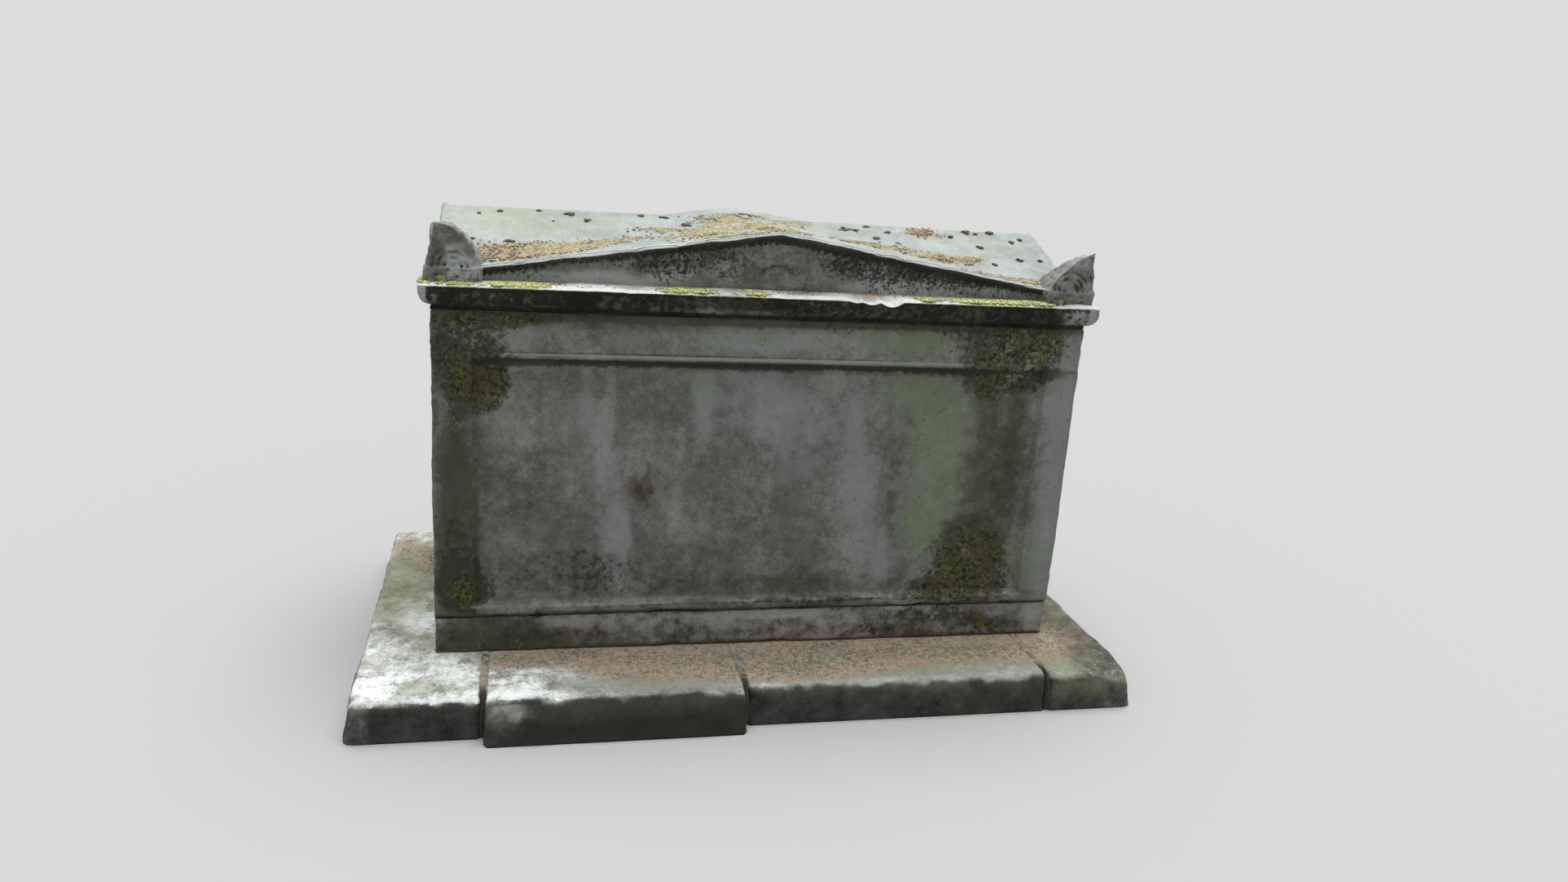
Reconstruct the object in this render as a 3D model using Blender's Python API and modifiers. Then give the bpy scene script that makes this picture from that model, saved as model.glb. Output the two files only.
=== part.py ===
"""A stone sarcophagus: paved base, plinth course, hollow chest and a cross-gabled lid with corner acroteria.

Metres, +Z up. The long front with the pediment faces -Y. The origin is the bottom centre of the whole object.
"""

import math

import bmesh
import bpy
from mathutils import Matrix, Vector

# Base stones, side by side, each running from front to back
base_height = 0.12
base_joint = 0.008
base_arris = 0.009
base_front_arris = 0.032
base_arris_segments = 4
base_front_margin = 0.296
base_back_margin = 0.136
base_left_margin = 0.207
base_right_margin = 0.177
left_stone_width = 0.350
middle_left_stone_width = 0.736
right_stone_width = 0.278
forward_step = 0.05

# Plinth course under the chest
plinth_height = 0.116
plinth_arris = 0.006

# Chest: one hollow block, open at the top
chest_length = 1.946
chest_depth = 0.908
chest_height = 0.912
chest_arris = 0.004
wall_thickness = 0.09
floor_thickness = 0.10

# Sunk panels of the chest, with a bead over the front one and a sloping sill under it
strip_width = 0.11
frieze_height = 0.115
foot_rail_height = 0.024
front_panel_sink = 0.018
plain_panel_sink = 0.010
bead_radius = 0.009
bead_proud = 0.0045
bead_steps = 8
sill_height = 0.016
sill_lip_height = 0.006
moulding_overrun = 0.002

# Lid: cornice
cornice_height = 0.08
cornice_projection = 0.03
cornice_neck_height = 0.012
cornice_fillet_height = 0.018
ovolo_steps = 6
wash_rise = 0.008

# Lid: roof, a long ridge crossed at mid length by the gables of the two pediments
roof_rise = 0.166
pediment_rise = 0.166
rake_foot_height = 0.012
rake_ledge = 0.052
end_ledge = 0.038
rake_thickness = 0.018
rake_rounding = 0.005
tympanum_setback = 0.024
roof_lap = 0.004

# Lid: worn half-round relief in the front tympanum
relief_half_width = 0.115
relief_springing = 0.006
relief_head_room = 0.040
relief_proud = 0.006
relief_steps = 12
relief_line_inset = 0.020
relief_line_width = 0.005
relief_line_span = (45, 135)

# Lid: acroteria, one on each corner
ear_width = 0.15
ear_depth = 0.115
ear_height = 0.154
back_ear_height = 0.112
ear_foot_height = 0.030
ear_base_height = 0.038
ear_base_proud = 0.004
ear_front_ledge = 0.028
ear_end_ledge = 0.018
ear_top_width = 0.018
ear_side_lean = 0.022
ear_curve_power = 1.7
ear_curve_steps = 9
carved_arc_count = 3
back_carved_arc_count = 2
carved_arc_margin = 0.011
carved_arc_spacing = 0.020
carved_arc_width = 0.006
carved_arc_span = (-12, 192)
carved_arc_steps = 20

# Gap kept between stones that rest on each other
rest_gap = 0.0003
# How far a joined piece sinks into its neighbour, and how far a cutter runs past
lap = 0.01

# Derived places
base_length = base_left_margin + chest_length + base_right_margin
other_stones_width = left_stone_width + middle_left_stone_width + right_stone_width
middle_right_stone_width = base_length - other_stones_width - 3 * base_joint
base_depth = base_front_margin + chest_depth + base_back_margin
base_back = (base_depth + forward_step) / 2
base_front = base_back - base_depth
chest_x = -base_length / 2 + base_left_margin + chest_length / 2
chest_y = base_front + base_front_margin + chest_depth / 2
plinth_bottom = base_height + rest_gap
plinth_top = plinth_bottom + plinth_height
chest_bottom = plinth_top + rest_gap
chest_top = chest_bottom + chest_height
lid_bottom = chest_top + rest_gap
cornice_top = lid_bottom + cornice_height

half_length = chest_length / 2 + cornice_projection
half_depth = chest_depth / 2 + cornice_projection
rake_half_depth = half_depth - rake_ledge
gable_half_length = half_length - end_ledge
panel_bottom = foot_rail_height
panel_top = chest_height - frieze_height
panel_height = panel_top - panel_bottom
relief_height = pediment_rise - rake_thickness - relief_head_room
outer_arc_radius = ear_width / 2 - carved_arc_margin

front_turn = Matrix.Rotation(math.radians(90), 4, "X")
end_turn = Matrix.Rotation(math.radians(90), 4, "Z") @ front_turn


def clear_scene():
    for item in list(bpy.data.objects):
        bpy.data.objects.remove(item, do_unlink=True)


def new_collection(name):
    collection = bpy.data.collections.new(name)
    bpy.context.scene.collection.children.link(collection)
    return collection


def stone(name, color, roughness):
    """A stone material of one plain colour."""
    material = bpy.data.materials.new(name)
    material.use_nodes = True
    principled = material.node_tree.nodes["Principled BSDF"]
    principled.inputs["Base Color"].default_value = (*color, 1.0)
    principled.inputs["Roughness"].default_value = roughness
    principled.inputs["Metallic"].default_value = 0.0
    return material


def add_mesh(name, mesh, collection, place=None):
    item = bpy.data.objects.new(name, mesh)
    item.matrix_world = place or Matrix()
    collection.objects.link(item)
    return item


def add_box(name, collection, low, high):
    """An axis-aligned box between two corners, made from a cube."""
    size = Vector(high) - Vector(low)
    centre = (Vector(high) + Vector(low)) / 2
    shape = bmesh.new()
    bmesh.ops.create_cube(shape, size=1.0, matrix=Matrix.Diagonal((*size, 1.0)))
    mesh = bpy.data.meshes.new(name)
    shape.to_mesh(mesh)
    shape.free()
    return add_mesh(name, mesh, collection, Matrix.Translation(centre))


def add_from_curve(name, collection, curve, place):
    """Makes a closed mesh of a curve and drops the curve."""
    guide = bpy.data.objects.new(name + "_curve", curve)
    collection.objects.link(guide)
    guide.matrix_world = place
    bpy.context.view_layer.update()
    evaluated = guide.evaluated_get(bpy.context.evaluated_depsgraph_get())
    mesh = bpy.data.meshes.new_from_object(evaluated)
    shape = bmesh.new()
    shape.from_mesh(mesh)
    bmesh.ops.remove_doubles(shape, verts=shape.verts, dist=0.00001)
    bmesh.ops.dissolve_limit(shape, angle_limit=0.001, verts=shape.verts, edges=shape.edges)
    bmesh.ops.recalc_face_normals(shape, faces=shape.faces)
    shape.to_mesh(mesh)
    shape.free()
    mesh.name = name
    item = add_mesh(name, mesh, collection, place)
    bpy.data.objects.remove(guide, do_unlink=True)
    return item


def new_curve(name, dimensions, points, cyclic):
    curve = bpy.data.curves.new(name, "CURVE")
    curve.dimensions = dimensions
    spline = curve.splines.new("POLY")
    spline.points.add(len(points) - 1)
    for point, (across, up) in zip(spline.points, points):
        point.co = (across, up, 0.0, 1.0)
    spline.use_cyclic_u = cyclic
    return curve


def add_outline(name, collection, points, thickness, turn, centre):
    """A flat outline thickened to a prism: a filled 2D curve made a mesh, then turned and placed."""
    curve = new_curve(name, "2D", points, True)
    curve.fill_mode = "BOTH"
    curve.extrude = thickness / 2
    return add_from_curve(name, collection, curve, Matrix.Translation(centre) @ turn)


def add_arc(name, collection, radius, width, span, turn, centre):
    """A bent bar around a centre that cuts a carved arc; the span is its first and last angle in degrees."""
    first, last = (math.radians(angle) for angle in span)
    points = []
    for step in range(carved_arc_steps + 1):
        angle = first + (last - first) * step / carved_arc_steps
        points.append((radius * math.cos(angle), radius * math.sin(angle)))
    curve = new_curve(name, "3D", points, False)
    curve.bevel_depth = width
    curve.bevel_resolution = 1
    curve.use_fill_caps = True
    return add_from_curve(name, collection, curve, Matrix.Translation(centre) @ turn)


def combine(target, other, operation):
    """Adds a Boolean with the other object, which then only shows as a guide."""
    modifier = target.modifiers.new(other.name, "BOOLEAN")
    modifier.operation = operation
    modifier.object = other
    modifier.solver = "EXACT"
    other.hide_render = True
    other.display_type = "WIRE"


def round_edges(item, width, segments):
    """Rounds every arris of a block."""
    modifier = item.modifiers.new("worn arris", "BEVEL")
    modifier.width = width
    modifier.segments = segments
    modifier.limit_method = "ANGLE"
    modifier.angle_limit = math.radians(30)
    return modifier


def wear_arrises(item, modifier):
    """Rounds a block's front arris most and leaves its foot sharp, where it is cut off flat at the ground."""
    corners = [vertex.co for vertex in item.data.vertices]
    foot = min(corner.z for corner in corners)
    front = min(corner.y for corner in corners)
    modifier.limit_method = "WEIGHT"
    weights = item.data.attributes.new("bevel_weight_edge", "FLOAT", "EDGE")
    for edge in item.data.edges:
        first, second = (corners[number] for number in edge.vertices)
        weight = base_arris / base_front_arris
        if first.y == second.y == front and min(first.z, second.z) > foot:
            weight = 1.0
        if max(first.z, second.z) == foot:
            weight = 0.0
        weights.data[edge.index].value = weight


def make_base(parts, material):
    """Four stones in a row; the second stands a little further forward than the rest."""
    stones = (
        ("base_stone_left", left_stone_width, base_front),
        ("base_stone_middle_left", middle_left_stone_width, base_front - forward_step),
        ("base_stone_middle_right", middle_right_stone_width, base_front),
        ("base_stone_right", right_stone_width, base_front),
    )
    left = -base_length / 2
    for name, width, front in stones:
        item = add_box(name, parts, (left, front, 0.0), (left + width, base_back, base_height))
        item.data.materials.append(material)
        wear_arrises(item, round_edges(item, base_front_arris, base_arris_segments))
        left += width + base_joint


def make_plinth(parts, material):
    low = (chest_x - chest_length / 2, chest_y - chest_depth / 2, plinth_bottom)
    high = (chest_x + chest_length / 2, chest_y + chest_depth / 2, plinth_top)
    item = add_box("plinth_course", parts, low, high)
    item.data.materials.append(material)
    round_edges(item, plinth_arris, 2)


def cut_panel(chest, guides, name, centre, size):
    """Sinks one panel into a face of the chest; the cutter is a box around the face."""
    half = Vector(size) / 2
    cutter = add_box(name, guides, Vector(centre) - half, Vector(centre) + half)
    combine(chest, cutter, "DIFFERENCE")


def make_chest(parts, guides, material):
    """A block hollowed from the top, with a sunk panel on each face and mouldings along the front one."""
    low = Vector((chest_x - chest_length / 2, chest_y - chest_depth / 2, chest_bottom))
    high = Vector((chest_x + chest_length / 2, chest_y + chest_depth / 2, chest_top))
    chest = add_box("chest", parts, low, high)
    chest.data.materials.append(material)
    round_edges(chest, chest_arris, 2)

    inner_low = low + Vector((wall_thickness, wall_thickness, floor_thickness))
    inner_high = high + Vector((-wall_thickness, -wall_thickness, lap))
    combine(chest, add_box("chest_hollow", guides, inner_low, inner_high), "DIFFERENCE")

    panel_middle = chest_bottom + (panel_bottom + panel_top) / 2
    long_panel = chest_length - 2 * strip_width
    short_panel = chest_depth - 2 * strip_width
    front_size = (long_panel, 2 * front_panel_sink, panel_height)
    back_size = (long_panel, 2 * plain_panel_sink, panel_height)
    end_size = (2 * plain_panel_sink, short_panel, panel_height)
    cut_panel(chest, guides, "front_panel", (chest_x, low.y, panel_middle), front_size)
    cut_panel(chest, guides, "back_panel", (chest_x, high.y, panel_middle), back_size)
    cut_panel(chest, guides, "left_panel", (low.x, chest_y, panel_middle), end_size)
    cut_panel(chest, guides, "right_panel", (high.x, chest_y, panel_middle), end_size)

    add_front_mouldings(chest, guides, low.y, long_panel + 2 * moulding_overrun)


def add_front_mouldings(chest, guides, face_y, length):
    """A bead along the front panel's upper edge, and a sill that slopes out to the foot rail under it."""
    outward = Matrix.Rotation(math.radians(180), 4, "Z") @ end_turn
    root = -front_panel_sink - lap
    bead = [(root, -bead_radius), (root, bead_radius)]
    for step in range(bead_steps + 1):
        angle = math.pi * step / bead_steps
        bead.append((bead_proud * math.sin(angle), bead_radius * math.cos(angle)))
    centre = (chest_x, face_y, chest_bottom + panel_top - bead_radius)
    combine(chest, add_outline("front_bead", guides, bead, length, outward, centre), "UNION")
    sill = [
        (root, -lap),
        (root, sill_height),
        (-front_panel_sink, sill_height),
        (-rest_gap, sill_lip_height),
        (-rest_gap, -lap),
    ]
    centre = (chest_x, face_y, chest_bottom + panel_bottom)
    combine(chest, add_outline("front_sill", guides, sill, length, outward, centre), "UNION")


def cornice_side(half_width):
    """Right half of the cornice's section, from the underside up: neck, ovolo, fillet and sloping top."""
    foot = half_width - cornice_projection
    ovolo_height = cornice_height - cornice_neck_height - cornice_fillet_height - wash_rise
    side = []
    for step in range(ovolo_steps + 1):
        angle = math.pi / 2 * step / ovolo_steps
        out = foot + cornice_projection * math.sin(angle)
        side.append((out, cornice_neck_height + ovolo_height * (1 - math.cos(angle))))
    side.append((half_width, cornice_height - wash_rise))
    return side


def mirrored(right):
    """A whole outline from its right half, given from the bottom up."""
    return right + [(-across, up) for across, up in reversed(right)]


def make_cornice(parts, guides):
    """The cornice is where its long section and its cross section, each drawn right through, meet."""
    centre = (chest_x, chest_y, lid_bottom)
    foot = (half_length - cornice_projection, 0.0)
    right = [foot] + cornice_side(half_length) + [(half_length - end_ledge, cornice_height)]
    lid = add_outline("lid", parts, mirrored(right), 2 * half_depth + 2 * lap, front_turn, centre)
    foot = (half_depth - cornice_projection, -lap)
    right = [foot] + cornice_side(half_depth) + [(half_depth - 2 * rake_ledge, cornice_height + wash_rise)]
    section = add_outline(
        "cornice_section", guides, mirrored(right), 2 * half_length + 2 * lap, end_turn, centre
    )
    combine(lid, section, "INTERSECT")
    return lid


def rake_height(share):
    """Height of the pediment's slope above the cornice, at a share of the way from its middle to its end."""
    return pediment_rise - (pediment_rise - rake_foot_height) * share


def add_roof_body(lid, guides, name, half_width, foot, peak, half_run, turn):
    """A gable-shaped prism that stands on the cornice, a little under its slabs."""
    right = [(half_width, -lap), (half_width, foot - roof_lap)]
    points = right + [(0.0, peak - roof_lap)] + [(-across, up) for across, up in reversed(right)]
    body = add_outline(name, guides, points, 2 * half_run, turn, (chest_x, chest_y, cornice_top))
    combine(lid, body, "UNION")


def add_roof_slabs(lid, guides, name, half_width, foot, peak, half_run, turn):
    """The two sloping slabs over a gable, with rounded edges; their ends make the raking mouldings."""
    points = [
        (-half_width, foot - rake_thickness),
        (0.0, peak - rake_thickness),
        (half_width, foot - rake_thickness),
        (half_width, foot),
        (0.0, peak),
        (-half_width, foot),
    ]
    slabs = add_outline(name, guides, points, 2 * half_run, turn, (chest_x, chest_y, cornice_top))
    round_edges(slabs, rake_rounding, 2)
    combine(lid, slabs, "UNION")


def add_roof(lid, guides):
    """Long roof and cross roof, each a body set back under its slabs."""
    long_body_run = gable_half_length - tympanum_setback
    cross_body_run = rake_half_depth - tympanum_setback
    long_half_width = cross_body_run - lap
    cross_half_width = long_body_run - lap
    long_foot = roof_rise * (1 - long_half_width / half_depth)
    cross_foot = rake_height(cross_half_width / half_length)
    long_roof = (long_half_width, long_foot, roof_rise)
    cross_roof = (cross_half_width, cross_foot, pediment_rise)
    add_roof_body(lid, guides, "long_body", *long_roof, long_body_run, end_turn)
    add_roof_body(lid, guides, "cross_body", *cross_roof, cross_body_run, front_turn)
    add_roof_slabs(lid, guides, "long_slabs", *long_roof, gable_half_length, end_turn)
    add_roof_slabs(lid, guides, "cross_slabs", *cross_roof, rake_half_depth, front_turn)


def add_relief(lid, guides):
    """A low half-round relief in the middle of the front tympanum, with one arched line cut in it."""
    face_y = chest_y - rake_half_depth + tympanum_setback - relief_proud
    points = [(-relief_half_width, -lap), (relief_half_width, -lap)]
    rise = relief_height - relief_springing
    for step in range(relief_steps + 1):
        angle = math.pi * step / relief_steps
        points.append((relief_half_width * math.cos(angle), relief_springing + rise * math.sin(angle)))
    thickness = relief_proud + lap
    centre = (chest_x, face_y + thickness / 2, cornice_top)
    combine(lid, add_outline("relief", guides, points, thickness, front_turn, centre), "UNION")
    centre = (chest_x, face_y, cornice_top + relief_springing)
    radius = relief_height - relief_springing - relief_line_inset
    line = add_arc("relief_line", guides, radius, relief_line_width, relief_line_span, front_turn, centre)
    combine(lid, line, "DIFFERENCE")


def ear_outline(width, height, lean):
    """Outline of an acroterion from its outer side inward: leaning side, short top and swelling slope."""
    curve_start = lean + ear_top_width
    curve_width = width - curve_start
    curve_height = height - ear_foot_height
    points = [(0.0, -lap), (lean, height)]
    for step in range(ear_curve_steps + 1):
        share = math.sin(math.pi / 2 * step / ear_curve_steps)
        left_over = (1 - share**ear_curve_power) ** (1 / ear_curve_power)
        points.append((curve_start + curve_width * share, ear_foot_height + curve_height * left_over))
    points.append((width, -lap))
    return points


def add_ear(lid, guides, name, x_side, y_side):
    """One acroterion: where its front outline and its end outline, each drawn right through, meet.

    The back ones are worn lower than the front ones, and carry only the inner arcs.
    """
    height = ear_height if y_side < 0 else back_ear_height
    arc_count = carved_arc_count if y_side < 0 else back_carved_arc_count
    outer_x = chest_x + x_side * (half_length - ear_end_ledge)
    outer_y = chest_y + y_side * (half_depth - ear_front_ledge)
    middle_x = outer_x - x_side * ear_width / 2
    middle_y = outer_y - y_side * ear_depth / 2
    front = [(-x_side * across, up) for across, up in ear_outline(ear_width, height, ear_side_lean)]
    end = [(-y_side * across, up) for across, up in ear_outline(ear_depth, height, 0.0)]
    ear = add_outline(name, guides, front, ear_depth + 2 * lap, front_turn, (outer_x, middle_y, cornice_top))
    side = add_outline(
        name + "_side", guides, end, ear_width + 2 * lap, end_turn, (middle_x, outer_y, cornice_top)
    )
    combine(ear, side, "INTERSECT")
    for number in range(carved_arc_count - arc_count, carved_arc_count):
        radius = outer_arc_radius - carved_arc_spacing * number
        centre = (middle_x, outer_y, cornice_top + ear_base_height)
        arc = add_arc(
            f"{name}_arc_{number}", guides, radius, carved_arc_width, carved_arc_span, front_turn, centre
        )
        combine(ear, arc, "DIFFERENCE")
    half_x = ear_width / 2 + ear_base_proud
    half_y = ear_depth / 2 + ear_base_proud
    low = (middle_x - half_x, middle_y - half_y, cornice_top - lap)
    high = (middle_x + half_x, middle_y + half_y, cornice_top + ear_base_height)
    combine(ear, add_box(name + "_base", guides, low, high), "UNION")
    combine(lid, ear, "UNION")


def make_lid(parts, guides, material):
    """The lid is one stone: cornice, cross-gabled roof, relief and four acroteria."""
    lid = make_cornice(parts, guides)
    lid.data.materials.append(material)
    add_roof(lid, guides)
    add_relief(lid, guides)
    for end_name, x_side in (("left", -1), ("right", 1)):
        add_ear(lid, guides, f"front_{end_name}_ear", x_side, -1)
        add_ear(lid, guides, f"back_{end_name}_ear", x_side, 1)


def main():
    clear_scene()
    parts = new_collection("stone_sarcophagus")
    guides = new_collection("guides")
    make_base(parts, stone("base stone", (0.34, 0.34, 0.30), 0.9))
    make_plinth(parts, stone("plinth stone", (0.16, 0.15, 0.13), 0.9))
    make_chest(parts, guides, stone("chest stone", (0.17, 0.17, 0.16), 0.85))
    make_lid(parts, guides, stone("lid stone", (0.36, 0.38, 0.35), 0.9))


main()
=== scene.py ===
import math

import bmesh
import bpy
import numpy as np
from mathutils import Matrix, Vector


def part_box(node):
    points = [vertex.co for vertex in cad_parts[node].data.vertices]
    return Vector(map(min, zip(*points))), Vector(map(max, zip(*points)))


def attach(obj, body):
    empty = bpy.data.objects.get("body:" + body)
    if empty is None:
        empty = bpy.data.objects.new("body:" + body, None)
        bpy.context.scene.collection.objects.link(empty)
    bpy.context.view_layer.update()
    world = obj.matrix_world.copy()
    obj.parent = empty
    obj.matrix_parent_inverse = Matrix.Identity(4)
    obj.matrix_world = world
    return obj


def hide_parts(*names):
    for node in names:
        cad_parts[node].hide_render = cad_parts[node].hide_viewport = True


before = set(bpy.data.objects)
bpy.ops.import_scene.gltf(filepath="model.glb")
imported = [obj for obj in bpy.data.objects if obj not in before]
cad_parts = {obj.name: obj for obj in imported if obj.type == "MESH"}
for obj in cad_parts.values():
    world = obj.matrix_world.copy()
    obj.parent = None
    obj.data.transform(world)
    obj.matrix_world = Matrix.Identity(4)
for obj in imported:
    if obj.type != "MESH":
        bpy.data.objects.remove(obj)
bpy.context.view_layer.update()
bpy.context.scene.view_settings.view_transform = "Standard"
print("frame loaded:", ", ".join(sorted(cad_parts)))

# Number tools

# A soft step: 0 below low, 1 above high, eased in between
def ease(low, high, value):
    share = np.clip((value - low) / (high - low), 0, 1)
    return share * share * (3 - 2 * share)


# Smooth noise from -1 to 1: a mixed-up number at each corner of a lattice, blended by eased distance
def smoothNoise(points, size, seed):
    place = np.asarray(points, float) / size + 500.0 + seed * 7.31
    cell = np.floor(place).astype(np.int64)
    part = place - cell
    part = part * part * part * (part * (part * 6 - 15) + 10)
    total = np.zeros(place.shape[:-1])
    for corner in range(8):
        step = np.array([corner & 1, corner >> 1 & 1, corner >> 2 & 1])
        key = (cell + step) @ np.array([73856093, 19349663, 83492791]) + seed * 9176
        key = ((key ^ (key >> 13)) * 1274126177) & 0x7FFFFFFF
        key = ((key ^ (key >> 15)) * 2246822519) & 0x7FFFFFFF
        total += np.where(step, part, 1 - part).prod(-1) * (key >> 7)
    return total / (0x7FFFFFFF >> 8) - 1


# Layers of noise, each half the size and half the strength of the one before
def layeredNoise(points, size, seed, layers=4):
    total, strength = 0.0, 1.0
    for layer in range(layers):
        total = total + strength * smoothNoise(points, size / 2**layer, seed + 31 * layer)
        strength /= 2
    return total


# Places from low to high about one step apart, with a line on each side of every knot
def spaced(low, high, step, knots=(), gap=0.0015):
    count = max(2, round((high - low) / step))
    plain = np.linspace(low, high, count + 1)
    extra = np.array([knot + side for knot in knots for side in (-gap, gap)])
    if len(extra):
        near = np.abs(plain[:, None] - extra[None, :]).min(1) < step * 0.35
        near[[0, -1]] = False
        plain = plain[~near]
    return np.unique(np.concatenate([plain, extra]))


# Sum of soft spots, each (centre across, centre up, half width, half height, strength)
def spots(across, up, patches):
    total = np.zeros(np.shape(across))
    for x, z, width, height, strength in patches:
        away = ((across - x) / width) ** 2 + ((up - z) / height) ** 2
        total += strength * np.exp(-(away**1.5) * 0.7)
    return np.clip(total, 0, 1.2)


# Mesh tools

# Quads between rows of points, where each row runs round and closes on itself
def ringFaces(rows, columns):
    index = np.arange(rows * columns).reshape(rows, columns)
    near, far = index[:-1], index[1:]
    return np.stack([near, np.roll(near, -1, 1), np.roll(far, -1, 1), far], -1).reshape(-1, 4)


# Quads of an open grid of points
def sheetFaces(rows, columns):
    index = np.arange(rows * columns).reshape(rows, columns)
    corners = [index[:-1, :-1], index[:-1, 1:], index[1:, 1:], index[1:, :-1]]
    return np.stack(corners, -1).reshape(-1, 4)


# Puts arrays into a mesh, merges the seams and turns every face outwards
def makePiece(name, points, faces, masks, material, node):
    mesh = bpy.data.meshes.new(name)
    points = points.reshape(-1, 3)
    mesh.vertices.add(len(points))
    mesh.vertices.foreach_set("co", points.astype(np.float32).ravel())
    mesh.loops.add(faces.size)
    mesh.loops.foreach_set("vertex_index", faces.astype(np.int32).ravel())
    mesh.polygons.add(len(faces))
    mesh.polygons.foreach_set("loop_start", np.arange(0, faces.size, 4, dtype=np.int32))
    mesh.update(calc_edges=True)
    for key, values in masks.items():
        layer = mesh.attributes.new(key, "FLOAT", "POINT")
        layer.data.foreach_set("value", np.clip(values, 0, 1.2).astype(np.float32).ravel())
    shape = bmesh.new()
    shape.from_mesh(mesh)
    bmesh.ops.remove_doubles(shape, verts=shape.verts, dist=0.00002)
    bmesh.ops.recalc_face_normals(shape, faces=shape.faces)
    openEdges = sum(1 for edge in shape.edges if len(edge.link_faces) != 2)
    shape.to_mesh(mesh)
    shape.free()
    mesh.polygons.foreach_set("use_smooth", np.ones(len(mesh.polygons), bool))
    mesh.materials.append(material)
    piece = bpy.data.objects.new(name, mesh)
    bpy.context.scene.collection.objects.link(piece)
    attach(piece, "root")
    if node:
        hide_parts(node)
    print(f"{name}: {len(mesh.polygons)} faces, {openEdges} open edges")
    return piece


# Directions square to a grid of points that closes on itself along each row
def ringNormals(points):
    along = np.roll(points, -1, 1) - np.roll(points, 1, 1)
    across = np.gradient(points, axis=0)
    normal = np.cross(along, across)
    length = np.linalg.norm(normal, axis=-1, keepdims=True)
    return np.where(length > 1e-12, normal / np.maximum(length, 1e-12), 0.0)


# A track round a rectangle, front, right, back and left in turn, as shares of its half sizes
def rectangleTrack(front, right, back, left):
    sides = [np.asarray(side)[:-1] for side in (front, right, back, left)]
    across = [sides[0], np.ones(len(sides[1])), -sides[2], -np.ones(len(sides[3]))]
    deep = [-np.ones(len(sides[0])), sides[1], np.ones(len(sides[2])), -sides[3]]
    number = [np.full(len(side), count) for count, side in enumerate(sides)]
    return np.concatenate(across), np.concatenate(deep), np.concatenate(number)


# A profile carried round a rectangle: each row is (inset, height, share left of the rectangle)
def carryRound(track, centre, half, profile):
    inset, height, share = (np.asarray(column, float)[:, None] for column in zip(*profile))
    x = centre[0] + (half[0] - inset) * track[0] * share
    y = centre[1] + (half[1] - inset) * track[1] * share
    return np.stack([x, y, np.broadcast_to(height, x.shape)], -1)


# Rounds the arrises of a box: a point goes to its radius from the nearest place of a smaller box
def roundArrises(points, low, high, radius):
    radius = np.broadcast_to(np.asarray(radius)[..., None], points.shape)
    core = np.clip(points, low + radius, high - radius)
    out = points - core
    length = np.linalg.norm(out, axis=-1, keepdims=True)
    return np.where(length > 1e-9, core + out / np.maximum(length, 1e-9) * radius, points)


# Turns a whole grid of directions round where the one at a known place points inwards
def outwards(normal, row, column, axis, way):
    return normal * np.sign(way * normal[row, column, axis])


# Node tools

# A node with its sockets linked or set, and its settings
def addNode(tree, kind, sockets=None, **settings):
    node = tree.nodes.new(kind)
    for key, value in settings.items():
        setattr(node, key, value)
    for key, value in (sockets or {}).items():
        if isinstance(value, bpy.types.NodeSocket):
            tree.links.new(value, node.inputs[key])
        else:
            node.inputs[key].default_value = value
    return node


# One step of arithmetic
def calc(tree, operation, first, second=0.0, clamp=False):
    return addNode(tree, "ShaderNodeMath", {0: first, 1: second}, operation=operation, use_clamp=clamp).outputs[0]


# A soft step from one range to another
def remap(tree, value, low, high, newLow=0.0, newHigh=1.0):
    sockets = {"Value": value, "From Min": low, "From Max": high, "To Min": newLow, "To Max": newHigh}
    return addNode(tree, "ShaderNodeMapRange", sockets, interpolation_type="SMOOTHSTEP").outputs[0]


# The first colour where the share is 0, the second where it is 1
def mixColour(tree, share, first, second):
    sockets = {0: share, 6: first, 7: second}
    return addNode(tree, "ShaderNodeMix", sockets, data_type="RGBA").outputs[2]


# Cloudy noise at a place
def noiseOf(tree, place, scale, detail=4.0, roughness=0.55):
    sockets = {"Vector": place, "Scale": scale, "Detail": detail, "Roughness": roughness}
    return addNode(tree, "ShaderNodeTexNoise", sockets).outputs["Fac"]


# Cells around scattered points
def cellsOf(tree, place, scale, randomness=1.0):
    sockets = {"Vector": place, "Scale": scale, "Randomness": randomness}
    return addNode(tree, "ShaderNodeTexVoronoi", sockets)


# A place stretched along each axis
def stretched(tree, place, scale):
    return addNode(tree, "ShaderNodeMapping", {"Vector": place, "Scale": scale}).outputs[0]


# A colour with full opacity
def rgba(colour):
    return (*colour, 1.0)


# A node group with named inputs and outputs, each (name, kind, starting value)
def newGroup(name, inputs, outputs):
    tree = bpy.data.node_groups.new(name, "ShaderNodeTree")
    for label, kind, value in inputs:
        socket = tree.interface.new_socket(name=label, in_out="INPUT", socket_type="NodeSocket" + kind)
        if value is not None:
            socket.default_value = value
    for label, kind in outputs:
        tree.interface.new_socket(name=label, in_out="OUTPUT", socket_type="NodeSocket" + kind)
    return tree, tree.nodes.new("NodeGroupInput").outputs, tree.nodes.new("NodeGroupOutput").inputs


# Places a group in a material with its own values
def useGroup(tree, group, sockets):
    return addNode(tree, "ShaderNodeGroup", sockets, node_tree=group).outputs


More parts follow.
